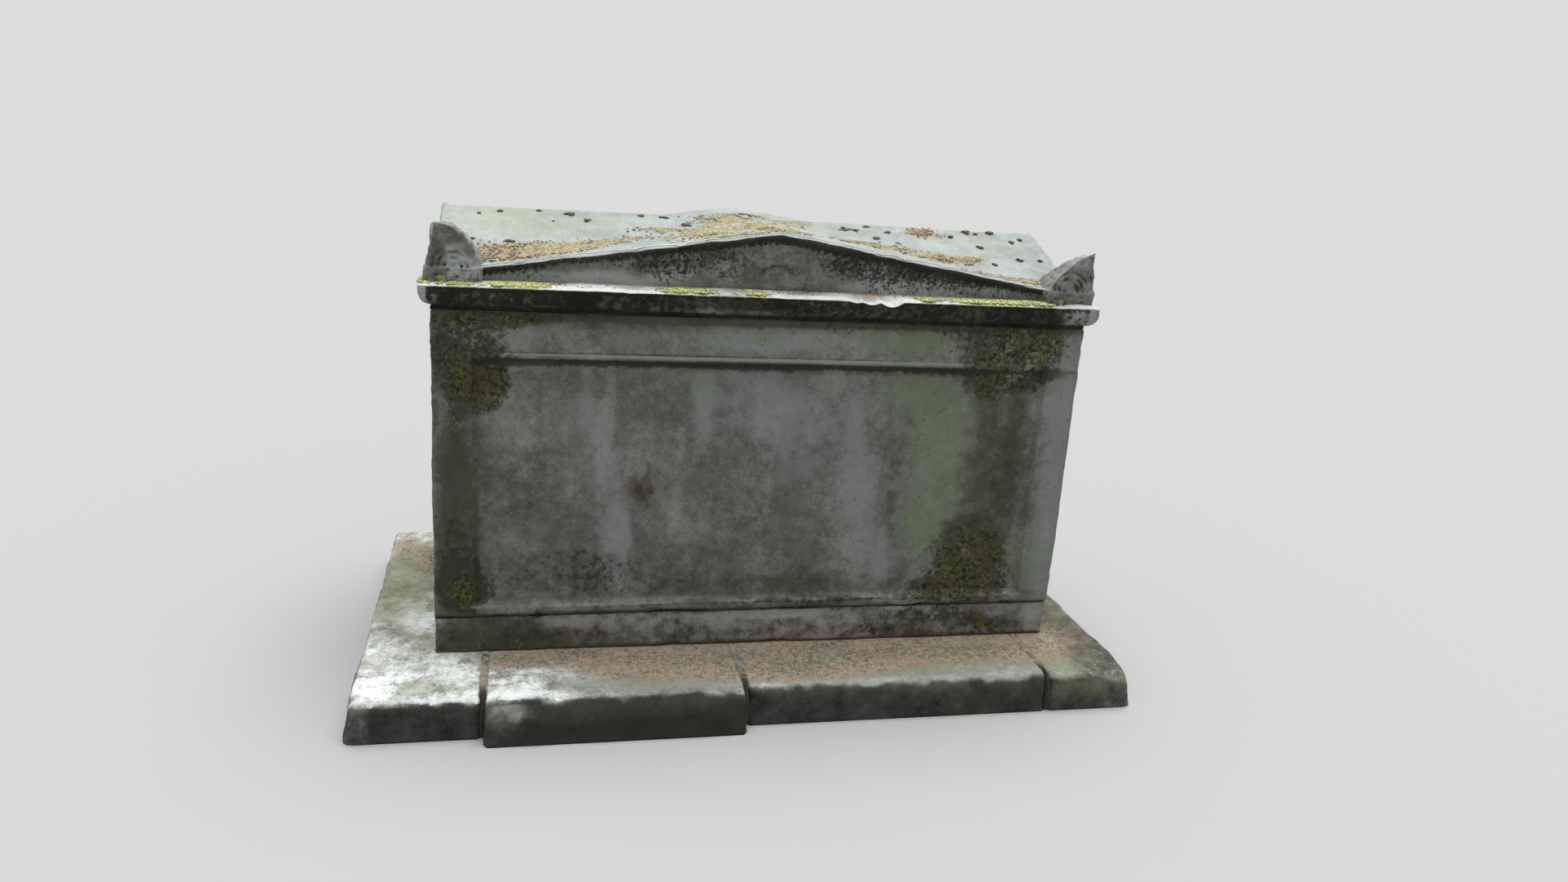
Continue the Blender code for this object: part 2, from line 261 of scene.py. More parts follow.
# Stone grain: cloudy tone, fine crystals and small pits
def makeGrainGroup():
    inputs = [("Place", "Vector", None), ("Clouds", "Float", 6.0), ("Grain", "Float", 140.0)]
    tree, given, out = newGroup("stoneGrain", inputs, [("Tone", "Float"), ("Pits", "Float"), ("Height", "Float")])
    clouds = noiseOf(tree, given["Place"], given["Clouds"], 8.0, 0.62)
    fine = noiseOf(tree, given["Place"], given["Grain"], 4.0, 0.6)
    middle = noiseOf(tree, given["Place"], calc(tree, "MULTIPLY", given["Grain"], 0.22), 6.0, 0.65)
    tone = calc(tree, "ADD", calc(tree, "MULTIPLY", clouds, 0.42), calc(tree, "MULTIPLY", fine, 0.24))
    tone = calc(tree, "ADD", tone, calc(tree, "MULTIPLY", middle, 0.34))
    tree.links.new(remap(tree, tone, 0.38, 0.62), out["Tone"])
    cells = cellsOf(tree, given["Place"], calc(tree, "MULTIPLY", given["Grain"], 0.7))
    pits = remap(tree, cells.outputs["Distance"], 0.05, 0.32, 1.0, 0.0)
    pits = calc(tree, "MULTIPLY", pits, remap(tree, middle, 0.52, 0.66))
    tree.links.new(pits, out["Pits"])
    height = calc(tree, "ADD", calc(tree, "MULTIPLY", middle, 0.7), calc(tree, "MULTIPLY", fine, 0.3))
    tree.links.new(calc(tree, "SUBTRACT", height, calc(tree, "MULTIPLY", pits, 0.35)), out["Height"])
    return tree


# Turns a soft painted amount into a patch with ragged edges
def makePatchGroup():
    inputs = [("Place", "Vector", None), ("Amount", "Float", 0.0), ("Scale", "Float", 20.0)]
    inputs += [("Softness", "Float", 0.15), ("Reach", "Float", 1.2)]
    tree, given, out = newGroup("raggedPatch", inputs, [("Mask", "Float")])
    noise = calc(tree, "SUBTRACT", noiseOf(tree, given["Place"], given["Scale"], 7.0, 0.68), 0.5)
    noise = calc(tree, "MULTIPLY", noise, calc(tree, "MULTIPLY", given["Amount"], 3.0, clamp=True))
    total = calc(tree, "ADD", given["Amount"], calc(tree, "MULTIPLY", noise, given["Reach"]))
    low = calc(tree, "SUBTRACT", 0.5, given["Softness"])
    high = calc(tree, "ADD", 0.5, given["Softness"])
    tree.links.new(remap(tree, total, low, high), out["Mask"])
    return tree


# Rain streaks: noise drawn out downwards
def makeStreakGroup():
    inputs = [("Place", "Vector", None), ("Scale", "Float", 22.0)]
    tree, given, out = newGroup("rainStreaks", inputs, [("Mask", "Float")])
    drawn = stretched(tree, given["Place"], (1.0, 1.0, 0.09))
    streaks = noiseOf(tree, drawn, given["Scale"], 5.0, 0.6)
    tree.links.new(remap(tree, streaks, 0.4, 0.62), out["Mask"])
    return tree


# Specks: the peaks of a fine noise, and more of them where the amount is higher
def makeSpeckGroup():
    inputs = [("Place", "Vector", None), ("Amount", "Float", 0.0), ("Scale", "Float", 90.0)]
    tree, given, out = newGroup("fineSpecks", inputs, [("Mask", "Float")])
    noise = noiseOf(tree, given["Place"], given["Scale"], 8.0, 0.78)
    level = calc(tree, "ADD", noise, calc(tree, "MULTIPLY", given["Amount"], 0.08))
    present = calc(tree, "MULTIPLY", given["Amount"], 4.0, clamp=True)
    tree.links.new(calc(tree, "MULTIPLY", remap(tree, level, 0.56, 0.69), present), out["Mask"])
    return tree


# Moss: three colours in tufts, with a furry height
def makeMossGroup():
    inputs = [("Place", "Vector", None), ("Scale", "Float", 60.0)]
    inputs += [("Dark", "Color", None), ("Bright", "Color", None), ("Dry", "Color", None)]
    tree, given, out = newGroup("mossTufts", inputs, [("Color", "Color"), ("Height", "Float")])
    tufts = noiseOf(tree, given["Place"], given["Scale"], 6.0, 0.72)
    beds = noiseOf(tree, given["Place"], calc(tree, "MULTIPLY", given["Scale"], 0.22), 4.0, 0.6)
    colour = mixColour(tree, remap(tree, tufts, 0.41, 0.60), given["Dark"], given["Bright"])
    dry = calc(tree, "MULTIPLY", remap(tree, beds, 0.44, 0.56), remap(tree, tufts, 0.38, 0.62, 0.25, 1.0))
    tree.links.new(mixColour(tree, dry, colour, given["Dry"]), out["Color"])
    tree.links.new(calc(tree, "ADD", tufts, calc(tree, "MULTIPLY", beds, 0.5)), out["Height"])
    return tree


grainGroup, patchGroup, streakGroup = makeGrainGroup(), makePatchGroup(), makeStreakGroup()
speckGroup, mossGroup = makeSpeckGroup(), makeMossGroup()


# Weathered stone: every painted amount on the mesh becomes one layer of colour: growth and stains, and in places
# painted shade and painted highlight
def makeStone(name, look):
    material = bpy.data.materials.new(name)
    material.use_nodes = True
    tree = material.node_tree
    shader = tree.nodes["Principled BSDF"]
    place = addNode(tree, "ShaderNodeTexCoord").outputs["Object"]

    def painted(key):
        return addNode(tree, "ShaderNodeAttribute", attribute_name=key).outputs["Fac"]

    def patch(key, scale="Scale"):
        sockets = {"Place": place, "Amount": painted(key), "Scale": look[key + scale]}
        sockets |= {"Softness": look[key + "Soft"], "Reach": look[key + "Reach"]}
        return useGroup(tree, patchGroup, sockets)["Mask"]

    def specks(key, scale):
        return useGroup(tree, speckGroup, {"Place": place, "Amount": painted(key), "Scale": scale})["Mask"]

    def lay(colour, mask, layer):
        return mixColour(tree, calc(tree, "MULTIPLY", mask, look[layer + "Share"]), colour, rgba(look[layer]))

    grain = useGroup(tree, grainGroup, {"Place": place, "Clouds": look["clouds"], "Grain": look["grain"]})
    side = mixColour(tree, grain["Tone"], rgba(look["sideDark"]), rgba(look["sideLight"]))
    top = mixColour(tree, grain["Tone"], rgba(look["topDark"]), rgba(look["topLight"]))
    # Faces turned up take the top colours; on the cornice ledge and the base tops these carry painted light
    colour = mixColour(tree, painted("top"), side, top)
    streaks = useGroup(tree, streakGroup, {"Place": place, "Scale": look["streakScale"]})["Mask"]
    colour = lay(colour, calc(tree, "MULTIPLY", streaks, calc(tree, "SUBTRACT", 1.0, painted("top"))), "streak")
    # Grime here also carries painted shade: under the chest's bead and cornice, at the cornice's foot and in the ears'
    # grooves
    for layer in ("pale", "cool", "algae", "ochre", "grimeAndShade"):
        colour = lay(colour, patch(layer), layer)
    # Lichen here also carries painted shade under the chest's bead and the roof's raking lip
    lichenAndShade = patch("lichenAndShade")
    colour = lay(colour, lichenAndShade, "lichenAndShade")
    # Worn arrises and lips, with a painted highlight
    colour = lay(colour, patch("edge"), "bare")
    colour = lay(colour, grain["Pits"], "pit")
    colour = lay(colour, specks("spots", look["spotScale"]), "spot")
    sockets = {"Place": place, "Scale": look["mossScale"], "Dark": rgba(look["mossDark"])}
    sockets |= {"Bright": rgba(look["mossBright"]), "Dry": rgba(look["mossDry"])}
    tufts = useGroup(tree, mossGroup, sockets)
    moss = patch("moss", "Patch")
    colour = mixColour(tree, moss, colour, tufts["Color"])
    colour = lay(colour, specks("fleck", look["fleckScale"]), "fleck")
    tree.links.new(colour, shader.inputs["Base Color"])
    rough = remap(tree, grain["Tone"], 0.0, 1.0, look["roughHigh"], look["roughLow"])
    tree.links.new(rough, shader.inputs["Roughness"])
    furry = calc(tree, "MULTIPLY", calc(tree, "MULTIPLY", moss, tufts["Height"]), look["mossHeight"])
    height = calc(tree, "ADD", grain["Height"], furry)
    height = calc(tree, "ADD", height, calc(tree, "MULTIPLY", lichenAndShade, look["lichenAndShadeHeight"]))
    sockets = {"Strength": look["bumpStrength"], "Distance": look["bumpDistance"], "Height": height}
    bump = addNode(tree, "ShaderNodeBump", sockets)
    tree.links.new(bump.outputs["Normal"], shader.inputs["Normal"])
    shader.inputs["Specular IOR Level"].default_value = look["specular"]
    return material


# The chest's stone; the others say only where they differ. Each layer has a colour and a share, each patch
# a scale, a softness and a reach
stoneLook = {
    "clouds": 5.0, "grain": 120.0, "streakScale": 16.0, "streak": (0.085, 0.085, 0.074), "streakShare": 0.4,
    "sideDark": (0.084, 0.085, 0.074), "sideLight": (0.212, 0.216, 0.202),
    "topDark": (0.240, 0.255, 0.235), "topLight": (0.350, 0.372, 0.345),
    "pale": (0.215, 0.224, 0.226), "paleShare": 0.85, "paleScale": 14.0, "paleSoft": 0.4, "paleReach": 1.5,
    "cool": (0.186, 0.197, 0.199), "coolShare": 0.8, "coolScale": 26.0, "coolSoft": 0.45, "coolReach": 1.7,
    "algae": (0.142, 0.182, 0.098), "algaeShare": 0.78, "algaeScale": 16.0, "algaeSoft": 0.5, "algaeReach": 1.5,
    "ochre": (0.070, 0.054, 0.030), "ochreShare": 0.75, "ochreScale": 40.0, "ochreSoft": 0.35, "ochreReach": 1.3,
    # Grime colour, also used as painted shade
    "grimeAndShade": (0.036, 0.039, 0.018), "grimeAndShadeShare": 0.85, "grimeAndShadeScale": 22.0, "grimeAndShadeSoft": 0.4, "grimeAndShadeReach": 1.3,
    # Lichen colour, also used as painted shade
    "lichenAndShade": (0.024, 0.025, 0.018), "lichenAndShadeShare": 0.8, "lichenAndShadeScale": 50.0, "lichenAndShadeSoft": 0.12, "lichenAndShadeReach": 1.9,
    # Worn stone with a painted highlight on arrises and lips
    "bare": (0.220, 0.228, 0.220), "bareShare": 0.7, "edgeScale": 40.0, "edgeSoft": 0.3, "edgeReach": 1.0,
    "pit": (0.035, 0.035, 0.028), "pitShare": 0.4,
    "spot": (0.040, 0.040, 0.032), "spotShare": 0.5, "spotScale": 70.0,
    "mossPatch": 34.0, "mossSoft": 0.16, "mossReach": 1.7,
    "mossScale": 85.0, "mossDark": (0.011, 0.013, 0.007), "mossBright": (0.084, 0.094, 0.028),
    "mossDry": (0.064, 0.056, 0.035),
    "fleck": (0.240, 0.246, 0.215), "fleckShare": 0.8, "fleckScale": 80.0,
    "roughLow": 0.82, "roughHigh": 0.97, "specular": 0.25,
    "bumpStrength": 0.55, "bumpDistance": 0.004, "mossHeight": 1.3, "lichenAndShadeHeight": 0.2,
}
chestStone = makeStone("chestStone", stoneLook)
plinthStone = makeStone("plinthStone", stoneLook | {
    "clouds": 13.0, "streakShare": 0.1, "sideDark": (0.040, 0.038, 0.031), "sideLight": (0.250, 0.244, 0.228),
    "pale": (0.270, 0.275, 0.270),
    "topDark": (0.100, 0.095, 0.080), "topLight": (0.180, 0.175, 0.155), "ochre": (0.160, 0.100, 0.064),
    "lichenAndShadeScale": 70.0,
})
lidStone = makeStone("lidStone", stoneLook | {
    "clouds": 7.0, "sideDark": (0.075, 0.073, 0.061), "sideLight": (0.220, 0.221, 0.205), "streakShare": 0.25,
    "topDark": (0.245, 0.268, 0.256), "topLight": (0.355, 0.390, 0.376),
    "pale": (0.400, 0.430, 0.415), "paleShare": 0.6, "paleScale": 16.0, "algae": (0.330, 0.360, 0.250),
    "algaeShare": 0.6,
    "ochre": (0.330, 0.260, 0.175), "ochreShare": 0.8, "grimeAndShade": (0.026, 0.025, 0.018), "grimeAndShadeShare": 0.9,
    "grimeAndShadeScale": 34.0,
    "lichenAndShade": (0.014, 0.014, 0.010), "lichenAndShadeShare": 0.9, "lichenAndShadeScale": 110.0, "bare": (0.470, 0.500, 0.495),
    "bareShare": 0.9,
    "spot": (0.150, 0.145, 0.120), "fleck": (0.110, 0.112, 0.098),
    "mossDark": (0.150, 0.140, 0.075), "mossBright": (0.370, 0.390, 0.180), "mossDry": (0.400, 0.310, 0.205),
})
corniceStone = makeStone("corniceStone", stoneLook | {
    "clouds": 9.0, "sideDark": (0.012, 0.011, 0.007), "sideLight": (0.072, 0.070, 0.046), "streakShare": 0.0,
    # The top colours carry painted light: they are raised to make up for the shade on the ledge
    "topDark": (0.370, 0.380, 0.360), "topLight": (0.680, 0.710, 0.690), "cool": (0.300, 0.315, 0.310),
    "pale": (0.360, 0.380, 0.370), "paleShare": 0.7, "paleScale": 20.0, "algae": (0.070, 0.074, 0.038),
    "algaeShare": 0.7,
    "ochre": (0.350, 0.290, 0.245), "ochreShare": 0.8, "grimeAndShade": (0.009, 0.009, 0.006), "grimeAndShadeShare": 0.92,
    "grimeAndShadeScale": 26.0,
    "lichenAndShade": (0.007, 0.007, 0.005), "lichenAndShadeShare": 0.92, "lichenAndShadeScale": 42.0, "bare": (0.560, 0.590, 0.585),
    "bareShare": 0.9,
    "spot": (0.150, 0.145, 0.120), "fleck": (0.150, 0.148, 0.120), "fleckShare": 0.6,
    "mossDark": (0.280, 0.300, 0.110), "mossBright": (0.620, 0.680, 0.270), "mossDry": (0.480, 0.430, 0.230),
})
baseStone = makeStone("baseStone", stoneLook | {
    "clouds": 10.0, "sideDark": (0.015, 0.015, 0.014), "sideLight": (0.050, 0.051, 0.046), "streakShare": 0.1,
    # The top colours carry painted light: they are raised to make up for the shade the chest casts on the tops
    "topDark": (0.130, 0.136, 0.108), "topLight": (0.540, 0.560, 0.520), "grimeAndShade": (0.022, 0.022, 0.018),
    "pale": (0.780, 0.810, 0.800), "paleShare": 0.9, "paleScale": 30.0, "paleSoft": 0.30, "paleReach": 2.1,
    "cool": (0.225, 0.236, 0.222), "coolShare": 0.9, "algae": (0.180, 0.195, 0.105), "algaeShare": 0.75,
    "ochre": (0.265, 0.195, 0.140), "ochreShare": 0.7,
    "bare": (0.560, 0.590, 0.580), "bareShare": 0.85, "spot": (0.110, 0.105, 0.075), "fleck": (0.340, 0.350, 0.320),
    "mossPatch": 15.0, "mossSoft": 0.42, "mossReach": 1.3,
    "mossScale": 60.0, "mossDark": (0.190, 0.158, 0.112), "mossBright": (0.300, 0.290, 0.205),
    "mossDry": (0.345, 0.245, 0.180),
})
print("stone materials made")

# Camera at the photograph's angle
view = {
    "place": (-0.715, -3.570, 1.700), "lens": 26.25, "sensor": 36.0,
    "axes": ((0.97435, -0.00681, -0.22493), (-0.21440, 0.27552, -0.93708), (0.06835, 0.96127, 0.26699)),
}
cameraData = bpy.data.cameras.new("camera")
cameraData.lens = view["lens"]
cameraData.sensor_width = view["sensor"]
camera = bpy.data.objects.new("camera", cameraData)
camera.matrix_world = Matrix.Translation(view["place"]) @ Matrix(view["axes"]).to_4x4()
bpy.context.scene.collection.objects.link(camera)
bpy.context.scene.camera = camera
print("camera placed")


# Lowest and highest corner of a node of the frame
def boxOf(node):
    low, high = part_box(node)
    return np.array(low), np.array(high)


# Places across one side, as shares of its half length, with a line at each knot
def sideShares(step, half, knots=()):
    return spaced(-half, half, step, knots) / half


# The track of one piece from its own steps: front, right, back and left
def pieceTrack(look, half, longKnots=(), shortKnots=()):
    end = sideShares(look["endStep"], half[1], shortKnots)
    front, back = (sideShares(look[key], half[0], longKnots) for key in ("frontStep", "backStep"))
    return rectangleTrack(front, end, back, end)


chestLow, chestHigh = boxOf("chest")
chestMiddle, chestHalf = (chestLow + chestHigh) / 2, (chestHigh - chestLow)[:2] / 2
lidLow, lidHigh = boxOf("lid")
lidMiddle, lidHalf = (lidLow + lidHigh) / 2, (lidHigh - lidLow)[:2] / 2

# Base stones

base = {
    "step": 0.012, "fineStep": 0.007, "fineReach": 0.11, "jointClosing": 0.002,
    "arris": 0.011, "wornArris": 0.014, "endArris": 0.018, "jointArris": 0.003, "jointWear": 0.007,
    "frontArris": {"left": 0.030, "middle_left": 0.055, "middle_right": 0.038, "right": 0.036},
    "darkFrom": {"left": 0.35, "middle_left": 0.80, "middle_right": 0.55, "right": 0.40},
    "waves": 0.0040, "roughness": 0.0016, "plinthGap": 0.07,
    "endFlare": 0.016, "flareHeight": 0.10, "flareReach": 0.05,
    "grooves": ((-1.10, 0.006, 0.012), (-0.79, 0.012, 0.006), (-0.60, 0.05, 0.004)),  # across, half width, depth
    "stain": (-0.25, -0.64, 0.25, 0.03, 0.42),
    "broken": ((-0.755, 0.085, 0.035, 0.040, 0.9), (-0.715, 0.100, 0.03, 0.025, 0.7)),
    # Across, up, half width, half height and depth
    "hollows": (
        (-0.055, 0.055, 0.045, 0.034, 0.020), (-0.745, 0.085, 0.035, 0.034, 0.014), (-0.82, 0.03, 0.02, 0.03, 0.010),
        (0.87, 0.06, 0.02, 0.04, 0.008), (-0.10, 0.085, 0.03, 0.02, 0.008),
    ),
    "palePatches": (
        (-0.93, -0.14, 0.09, 0.10, 0.55), (-1.10, -0.30, 0.07, 0.08, 0.5), (-0.88, -0.50, 0.06, 0.07, 0.55),
        (-1.02, -0.46, 0.06, 0.05, 0.5),
        (-0.72, -0.56, 0.10, 0.05, 0.6), (-0.95, -0.37, 0.10, 0.08, 0.45), (-1.12, -0.55, 0.07, 0.10, 0.7),
        (-0.90, -0.62, 0.14, 0.03, 0.6),
        (-1.05, -0.10, 0.06, 0.10, 0.6), (-0.60, -0.47, 0.20, 0.022, 0.65), (-0.30, -0.50, 0.16, 0.02, 0.35),
        (1.12, -0.46, 0.05, 0.12, 0.5),
        (-1.08, 0.62, 0.10, 0.07, 0.5), (-0.14, -0.655, 0.06, 0.02, 0.6), (-1.05, 0.02, 0.05, 0.05, 0.5),
        (0.00, -0.62, 0.06, 0.02, 0.6), (-0.66, -0.63, 0.12, 0.03, 0.6),
    ),
    "coolPatches": (
        (-0.38, -0.58, 0.24, 0.05, 0.8), (-0.20, -0.63, 0.20, 0.05, 0.7), (-1.00, -0.40, 0.05, 0.06, 0.5),
        (-0.90, -0.28, 0.05, 0.05, 0.5), (-1.08, -0.18, 0.05, 0.05, 0.5),
    ),
    "algaePatches": (
        (-1.10, 0.16, 0.13, 0.30, 0.9), (-1.06, 0.48, 0.10, 0.16, 0.6), (1.08, -0.16, 0.10, 0.30, 0.7),
        (-0.98, -0.28, 0.10, 0.10, 0.5),
        (1.04, -0.44, 0.14, 0.30, 1.0), (0.85, -0.52, 0.20, 0.08, 0.4), (1.05, -0.10, 0.10, 0.20, 0.6),
        (-0.36, -0.58, 0.22, 0.05, 0.55), (0.50, -0.53, 0.34, 0.08, 0.6), (-0.95, -0.56, 0.10, 0.05, 0.4),
        (0.30, 0.64, 0.50, 0.06, 0.6), (-0.60, 0.66, 0.30, 0.05, 0.7), (1.06, 0.45, 0.10, 0.20, 0.6),
    ),
    "litterPatches": (
        (-0.42, -0.41, 0.32, 0.075, 1.0), (0.00, -0.45, 0.34, 0.12, 1.1), (0.40, -0.425, 0.40, 0.105, 1.05),
        (0.80, -0.42, 0.30, 0.105, 0.95),
        (1.04, -0.30, 0.08, 0.20, 0.3), (-0.70, -0.39, 0.10, 0.05, 0.9), (0.12, -0.54, 0.24, 0.06, 0.7),
        (1.04, 0.10, 0.06, 0.40, 0.7),
        (0.10, 0.60, 0.80, 0.05, 0.9), (-1.02, 0.40, 0.05, 0.14, 0.8), (-1.12, 0.52, 0.05, 0.12, 0.6),
        (-0.36, -0.53, 0.16, 0.04, 0.45),
    ),
    "frontAlgae": (
        (1.02, 0.07, 0.12, 0.06, 0.36), (0.72, 0.06, 0.22, 0.05, 0.27), (-0.80, 0.05, 0.03, 0.05, 0.3),
        (0.30, 0.09, 0.20, 0.03, 0.22),
    ),
}


# The unevenness of the base, up and down, at each point: long waves and a fine roughness
def baseSwell(points):
    long = base["waves"] * layeredNoise(points, 0.2, 3, 3) - 0.001
    return long + base["roughness"] * layeredNoise(points, 0.035, 5, 3)


# A block as six grids that share their edges; each arris is a quarter of an ellipse whose radii vary along it
def makeBaseStone(node, name, leftEnd, rightEnd, frontArris, darkFrom):
    low, high = boxOf(node)
    low[0] -= 0 if leftEnd else base["jointClosing"]
    high[0] += 0 if rightEnd else base["jointClosing"]
    across = spaced(low[0], high[0], base["step"])
    near = spaced(low[1], low[1] + base["fineReach"], base["fineStep"])
    deep = np.concatenate([near[:-1], spaced(low[1] + base["fineReach"], high[1], base["step"])])
    upward = spaced(low[2], high[2], base["fineStep"])
    blocks, faces, count = [], [], 0
    for axis, (first, second) in enumerate(((deep, upward), (across, upward), (across, deep))):
        for value in (low[axis], high[axis]):
            u, v = np.meshgrid(first, second, indexing="ij")
            block = np.insert(np.stack([u, v], -1), axis, value, axis=-1)
            blocks.append(block.reshape(-1, 3))
            faces.append(sheetFaces(*u.shape) + count)
            count += u.size
    points = np.concatenate(blocks)
    worn = ease(-0.4, 0.7, smoothNoise(points, 0.13, 11))
    front = 1 - ease(0.04, 0.12, points[:, 1] - low[1])
    onLeft = points[:, 0] < (low[0] + high[0]) / 2
    atEnd = np.where(onLeft, leftEnd, rightEnd)
    jointArris = base["jointArris"] + base["jointWear"] * front * (0.3 + worn)
    endArris = base["endArris"] + base["wornArris"] * worn
    upperArris = base["arris"] * (1 - front) * (0.5 + worn) + (frontArris + base["wornArris"] * worn) * front
    radius = np.stack([np.where(atEnd, endArris, jointArris), upperArris, upperArris], 1)
    core = np.clip(points, low + radius - np.array([0, 0, 1.0]), high - radius)
    out = (points - core) / radius
    length = np.linalg.norm(out, axis=1, keepdims=True)
    out = np.where(length > 1e-9, out / np.maximum(length, 1e-9), 0)
    points = core + out * radius
    out = out / radius
    out = out / np.maximum(np.linalg.norm(out, axis=1, keepdims=True), 1e-9)
    gap = np.maximum(np.abs(points[:, :2] - chestMiddle[:2]) - chestHalf, 0)
    free = ease(0.0, base["plinthGap"], np.linalg.norm(gap, axis=1))
    foot = ease(0.0, 0.02, points[:, 2] - low[2])
    push = baseSwell(points)
    faceOn = ease(0.02, 0.2, -out[:, 1])
    for place, width, depth in base["grooves"]:
        push -= depth * np.exp(-(((points[:, 0] - place) / width) ** 2)) * faceOn
    for place, up, width, height, depth in base["hollows"]:
        away = ((points[:, 0] - place) / width) ** 2 + ((points[:, 2] - up) / height) ** 2
        push -= depth * np.exp(-away) * faceOn
    points = points + out * (push * np.where(out[:, 2] > 0.8, free, 1.0) * foot)[:, None]
    reach = base["flareReach"]
    atRight = ease(0.0, reach, points[:, 0] - high[0] + reach) * rightEnd
    atLeft = ease(0.0, reach, low[0] + reach - points[:, 0]) * leftEnd
    lowDown = 1 - ease(0.0, base["flareHeight"], points[:, 2] - low[2])
    points[:, 0] += base["endFlare"] * lowDown * (atRight - atLeft)
    x, y, z = points.T
    small, cloud = smoothNoise(points, 0.03, 23), smoothNoise(points, 0.09, 21)
    fromFront = (y - low[1]) / frontArris
    # Upward faces take the top colours, which carry painted light, giving way to the dark face some way behind the
    # front arris
    upper = ease(0.45, 0.75, out[:, 2] + 0.14 * small)
    upper = upper * ease(darkFrom - 0.34, darkFrom + 0.28, fromFront + 0.20 * small + 0.20 * cloud)
    faceOn = ease(0.2, 0.5, -out[:, 1])
    broken = spots(x, z, base["broken"]) * faceOn
    upper = np.maximum(upper, 0.5 * broken * ease(-0.6, 0.4, small))
    aside = 1 - upper
    # A band of worn stone with a painted highlight where the top rolls over into the front
    rim = ease(darkFrom - 0.1, darkFrom + 0.2, fromFront + 0.1 * cloud)
    rim = rim * (1 - ease(darkFrom + 0.3, darkFrom + 0.8, fromFront)) * ease(0.02, 0.15, out[:, 2])
    litter, farRight = spots(x, y, base["litterPatches"]) * upper, ease(0.93, 1.06, x)
    clean = np.clip(litter, 0, 1)
    stainX, stainY, stainWidth, stainDepth, stainShare = base["stain"]
    stain = stainShare * np.exp(-(((x - stainX) / stainWidth) ** 2) - ((y - stainY) / stainDepth) ** 2)
    blotches = 0.24 * ease(-0.1, 0.7, smoothNoise(points, 0.14, 25)) * ease(-0.1, 0.1, x) * (1 - 0.6 * clean)
    darkFront = 0.6 * ease(-0.4, 0.5, cloud) + 0.75 * ease(-0.70, -0.60, x) * (1 - ease(-0.10, 0.0, x))
    coolTop = ease(-0.06, 0.10, x) * (0.72 + 0.25 * cloud) + spots(x, y, base["coolPatches"])
    coolFront = 0.5 * ease(1.0, 1.14, x) + 0.55 * ease(1.09, 1.13, -x) + 0.6 * broken
    masks = {
        "top": upper,
        "pale": spots(x, y, base["palePatches"]) * upper,
        "algae": spots(x, y, base["algaePatches"]) * upper + spots(x, z, base["frontAlgae"]) * aside * faceOn,
        "ochre": litter,
        "grimeAndShade": litter * 0.04 + upper * (stain + 0.55 * farRight + blotches) + aside * darkFront,
        "moss": litter * 0.92 * (1 - 0.6 * farRight) * (1 - 0.35 * ease(-0.1, 0.8, cloud)),
        "edge": rim * np.clip(0.60 + 0.5 * cloud, 0, 1) * (0.40 + 0.60 * (1 - ease(-0.75, -0.35, x))),
        "cool": upper * np.clip(coolTop, 0, 1) + faceOn * coolFront,
        "fleck": 0.25 * upper * (1 - litter), "spots": (0.45 - 0.3 * clean) * upper,
    }
    makePiece(name, points, np.concatenate(faces), masks, baseStone, node)


for side in ("left", "middle_left", "middle_right", "right"):
    name = "baseStone" + "".join(word.capitalize() for word in side.split("_"))
    leftEnd, rightEnd = side == "left", side == "right"
    makeBaseStone("base_stone_" + side, name, leftEnd, rightEnd, base["frontArris"][side], base["darkFrom"][side])

# Plinth course

plinth = {
    "frontStep": 0.008, "endStep": 0.014, "backStep": 0.018, "rowStep": 0.0065, "arris": 0.006, "wornArris": 0.014,
    "waves": 0.0026, "roughness": 0.0016, "topInsets": (0.006, 0.013, 0.022, 0.04, 0.08), "lastInset": 0.1,
    "biteHeight": 0.035,
    # Across, half width and depth
    "bites": (
        (-0.16, 0.05, 0.006), (0.05, 0.08, 0.007), (0.24, 0.05, 0.009), (0.47, 0.06, 0.006), (-0.66, 0.02, 0.008),
        (0.70, 0.05, 0.006),
    ),
    "ochre": ((0.745, 0.215, 0.022, 0.03, 0.9), (-0.56, 0.15, 0.14, 0.03, 0.4), (0.10, 0.125, 0.9, 0.010, 0.6)),
    "pale": (
        (0.94, 0.20, 0.045, 0.045, 0.9), (-0.02, 0.219, 0.22, 0.013, 1.0), (0.22, 0.20, 0.14, 0.03, 0.55),
        (-0.06, 0.19, 0.10, 0.03, 0.5), (0.52, 0.226, 0.12, 0.010, 0.7), (-0.62, 0.21, 0.10, 0.02, 0.35),
        (-0.935, 0.225, 0.02, 0.012, 0.9),
    ),
    "grimeAndShade": (
        (-0.80, 0.17, 0.18, 0.07, 1.0), (-0.30, 0.15, 0.35, 0.04, 0.5), (0.55, 0.17, 0.25, 0.05, 0.45),
        (0.85, 0.16, 0.10, 0.04, 0.4),
    ),
    "moss": (
        (0.62, 0.20, 0.20, 0.04, 0.55), (0.40, 0.15, 0.12, 0.03, 0.5), (-0.86, 0.16, 0.10, 0.05, 0.4),
        (0.80, 0.15, 0.10, 0.03, 0.5),
    ),
}
plinthLow, plinthHigh = boxOf("plinth_course")
plinthHalf = (plinthHigh - plinthLow)[:2] / 2
track = pieceTrack(plinth, plinthHalf)
rows = [(0, plinthLow[2], 0), (0, plinthLow[2], 0.9)]
rows += [(0, z, 1) for z in spaced(plinthLow[2], plinthHigh[2], plinth["rowStep"])]
rows += [(inset, plinthHigh[2], 1) for inset in plinth["topInsets"]] + [(plinth["lastInset"], plinthHigh[2], 0)]
points = carryRound(track, chestMiddle, plinthHalf, rows)
radius = plinth["arris"] + plinth["wornArris"] * ease(0.0, 0.8, smoothNoise(points, 0.07, 41))
points = roundArrises(points, plinthLow, plinthHigh, radius)
normal = outwards(ringNormals(points), 8, 20, 1, -1)
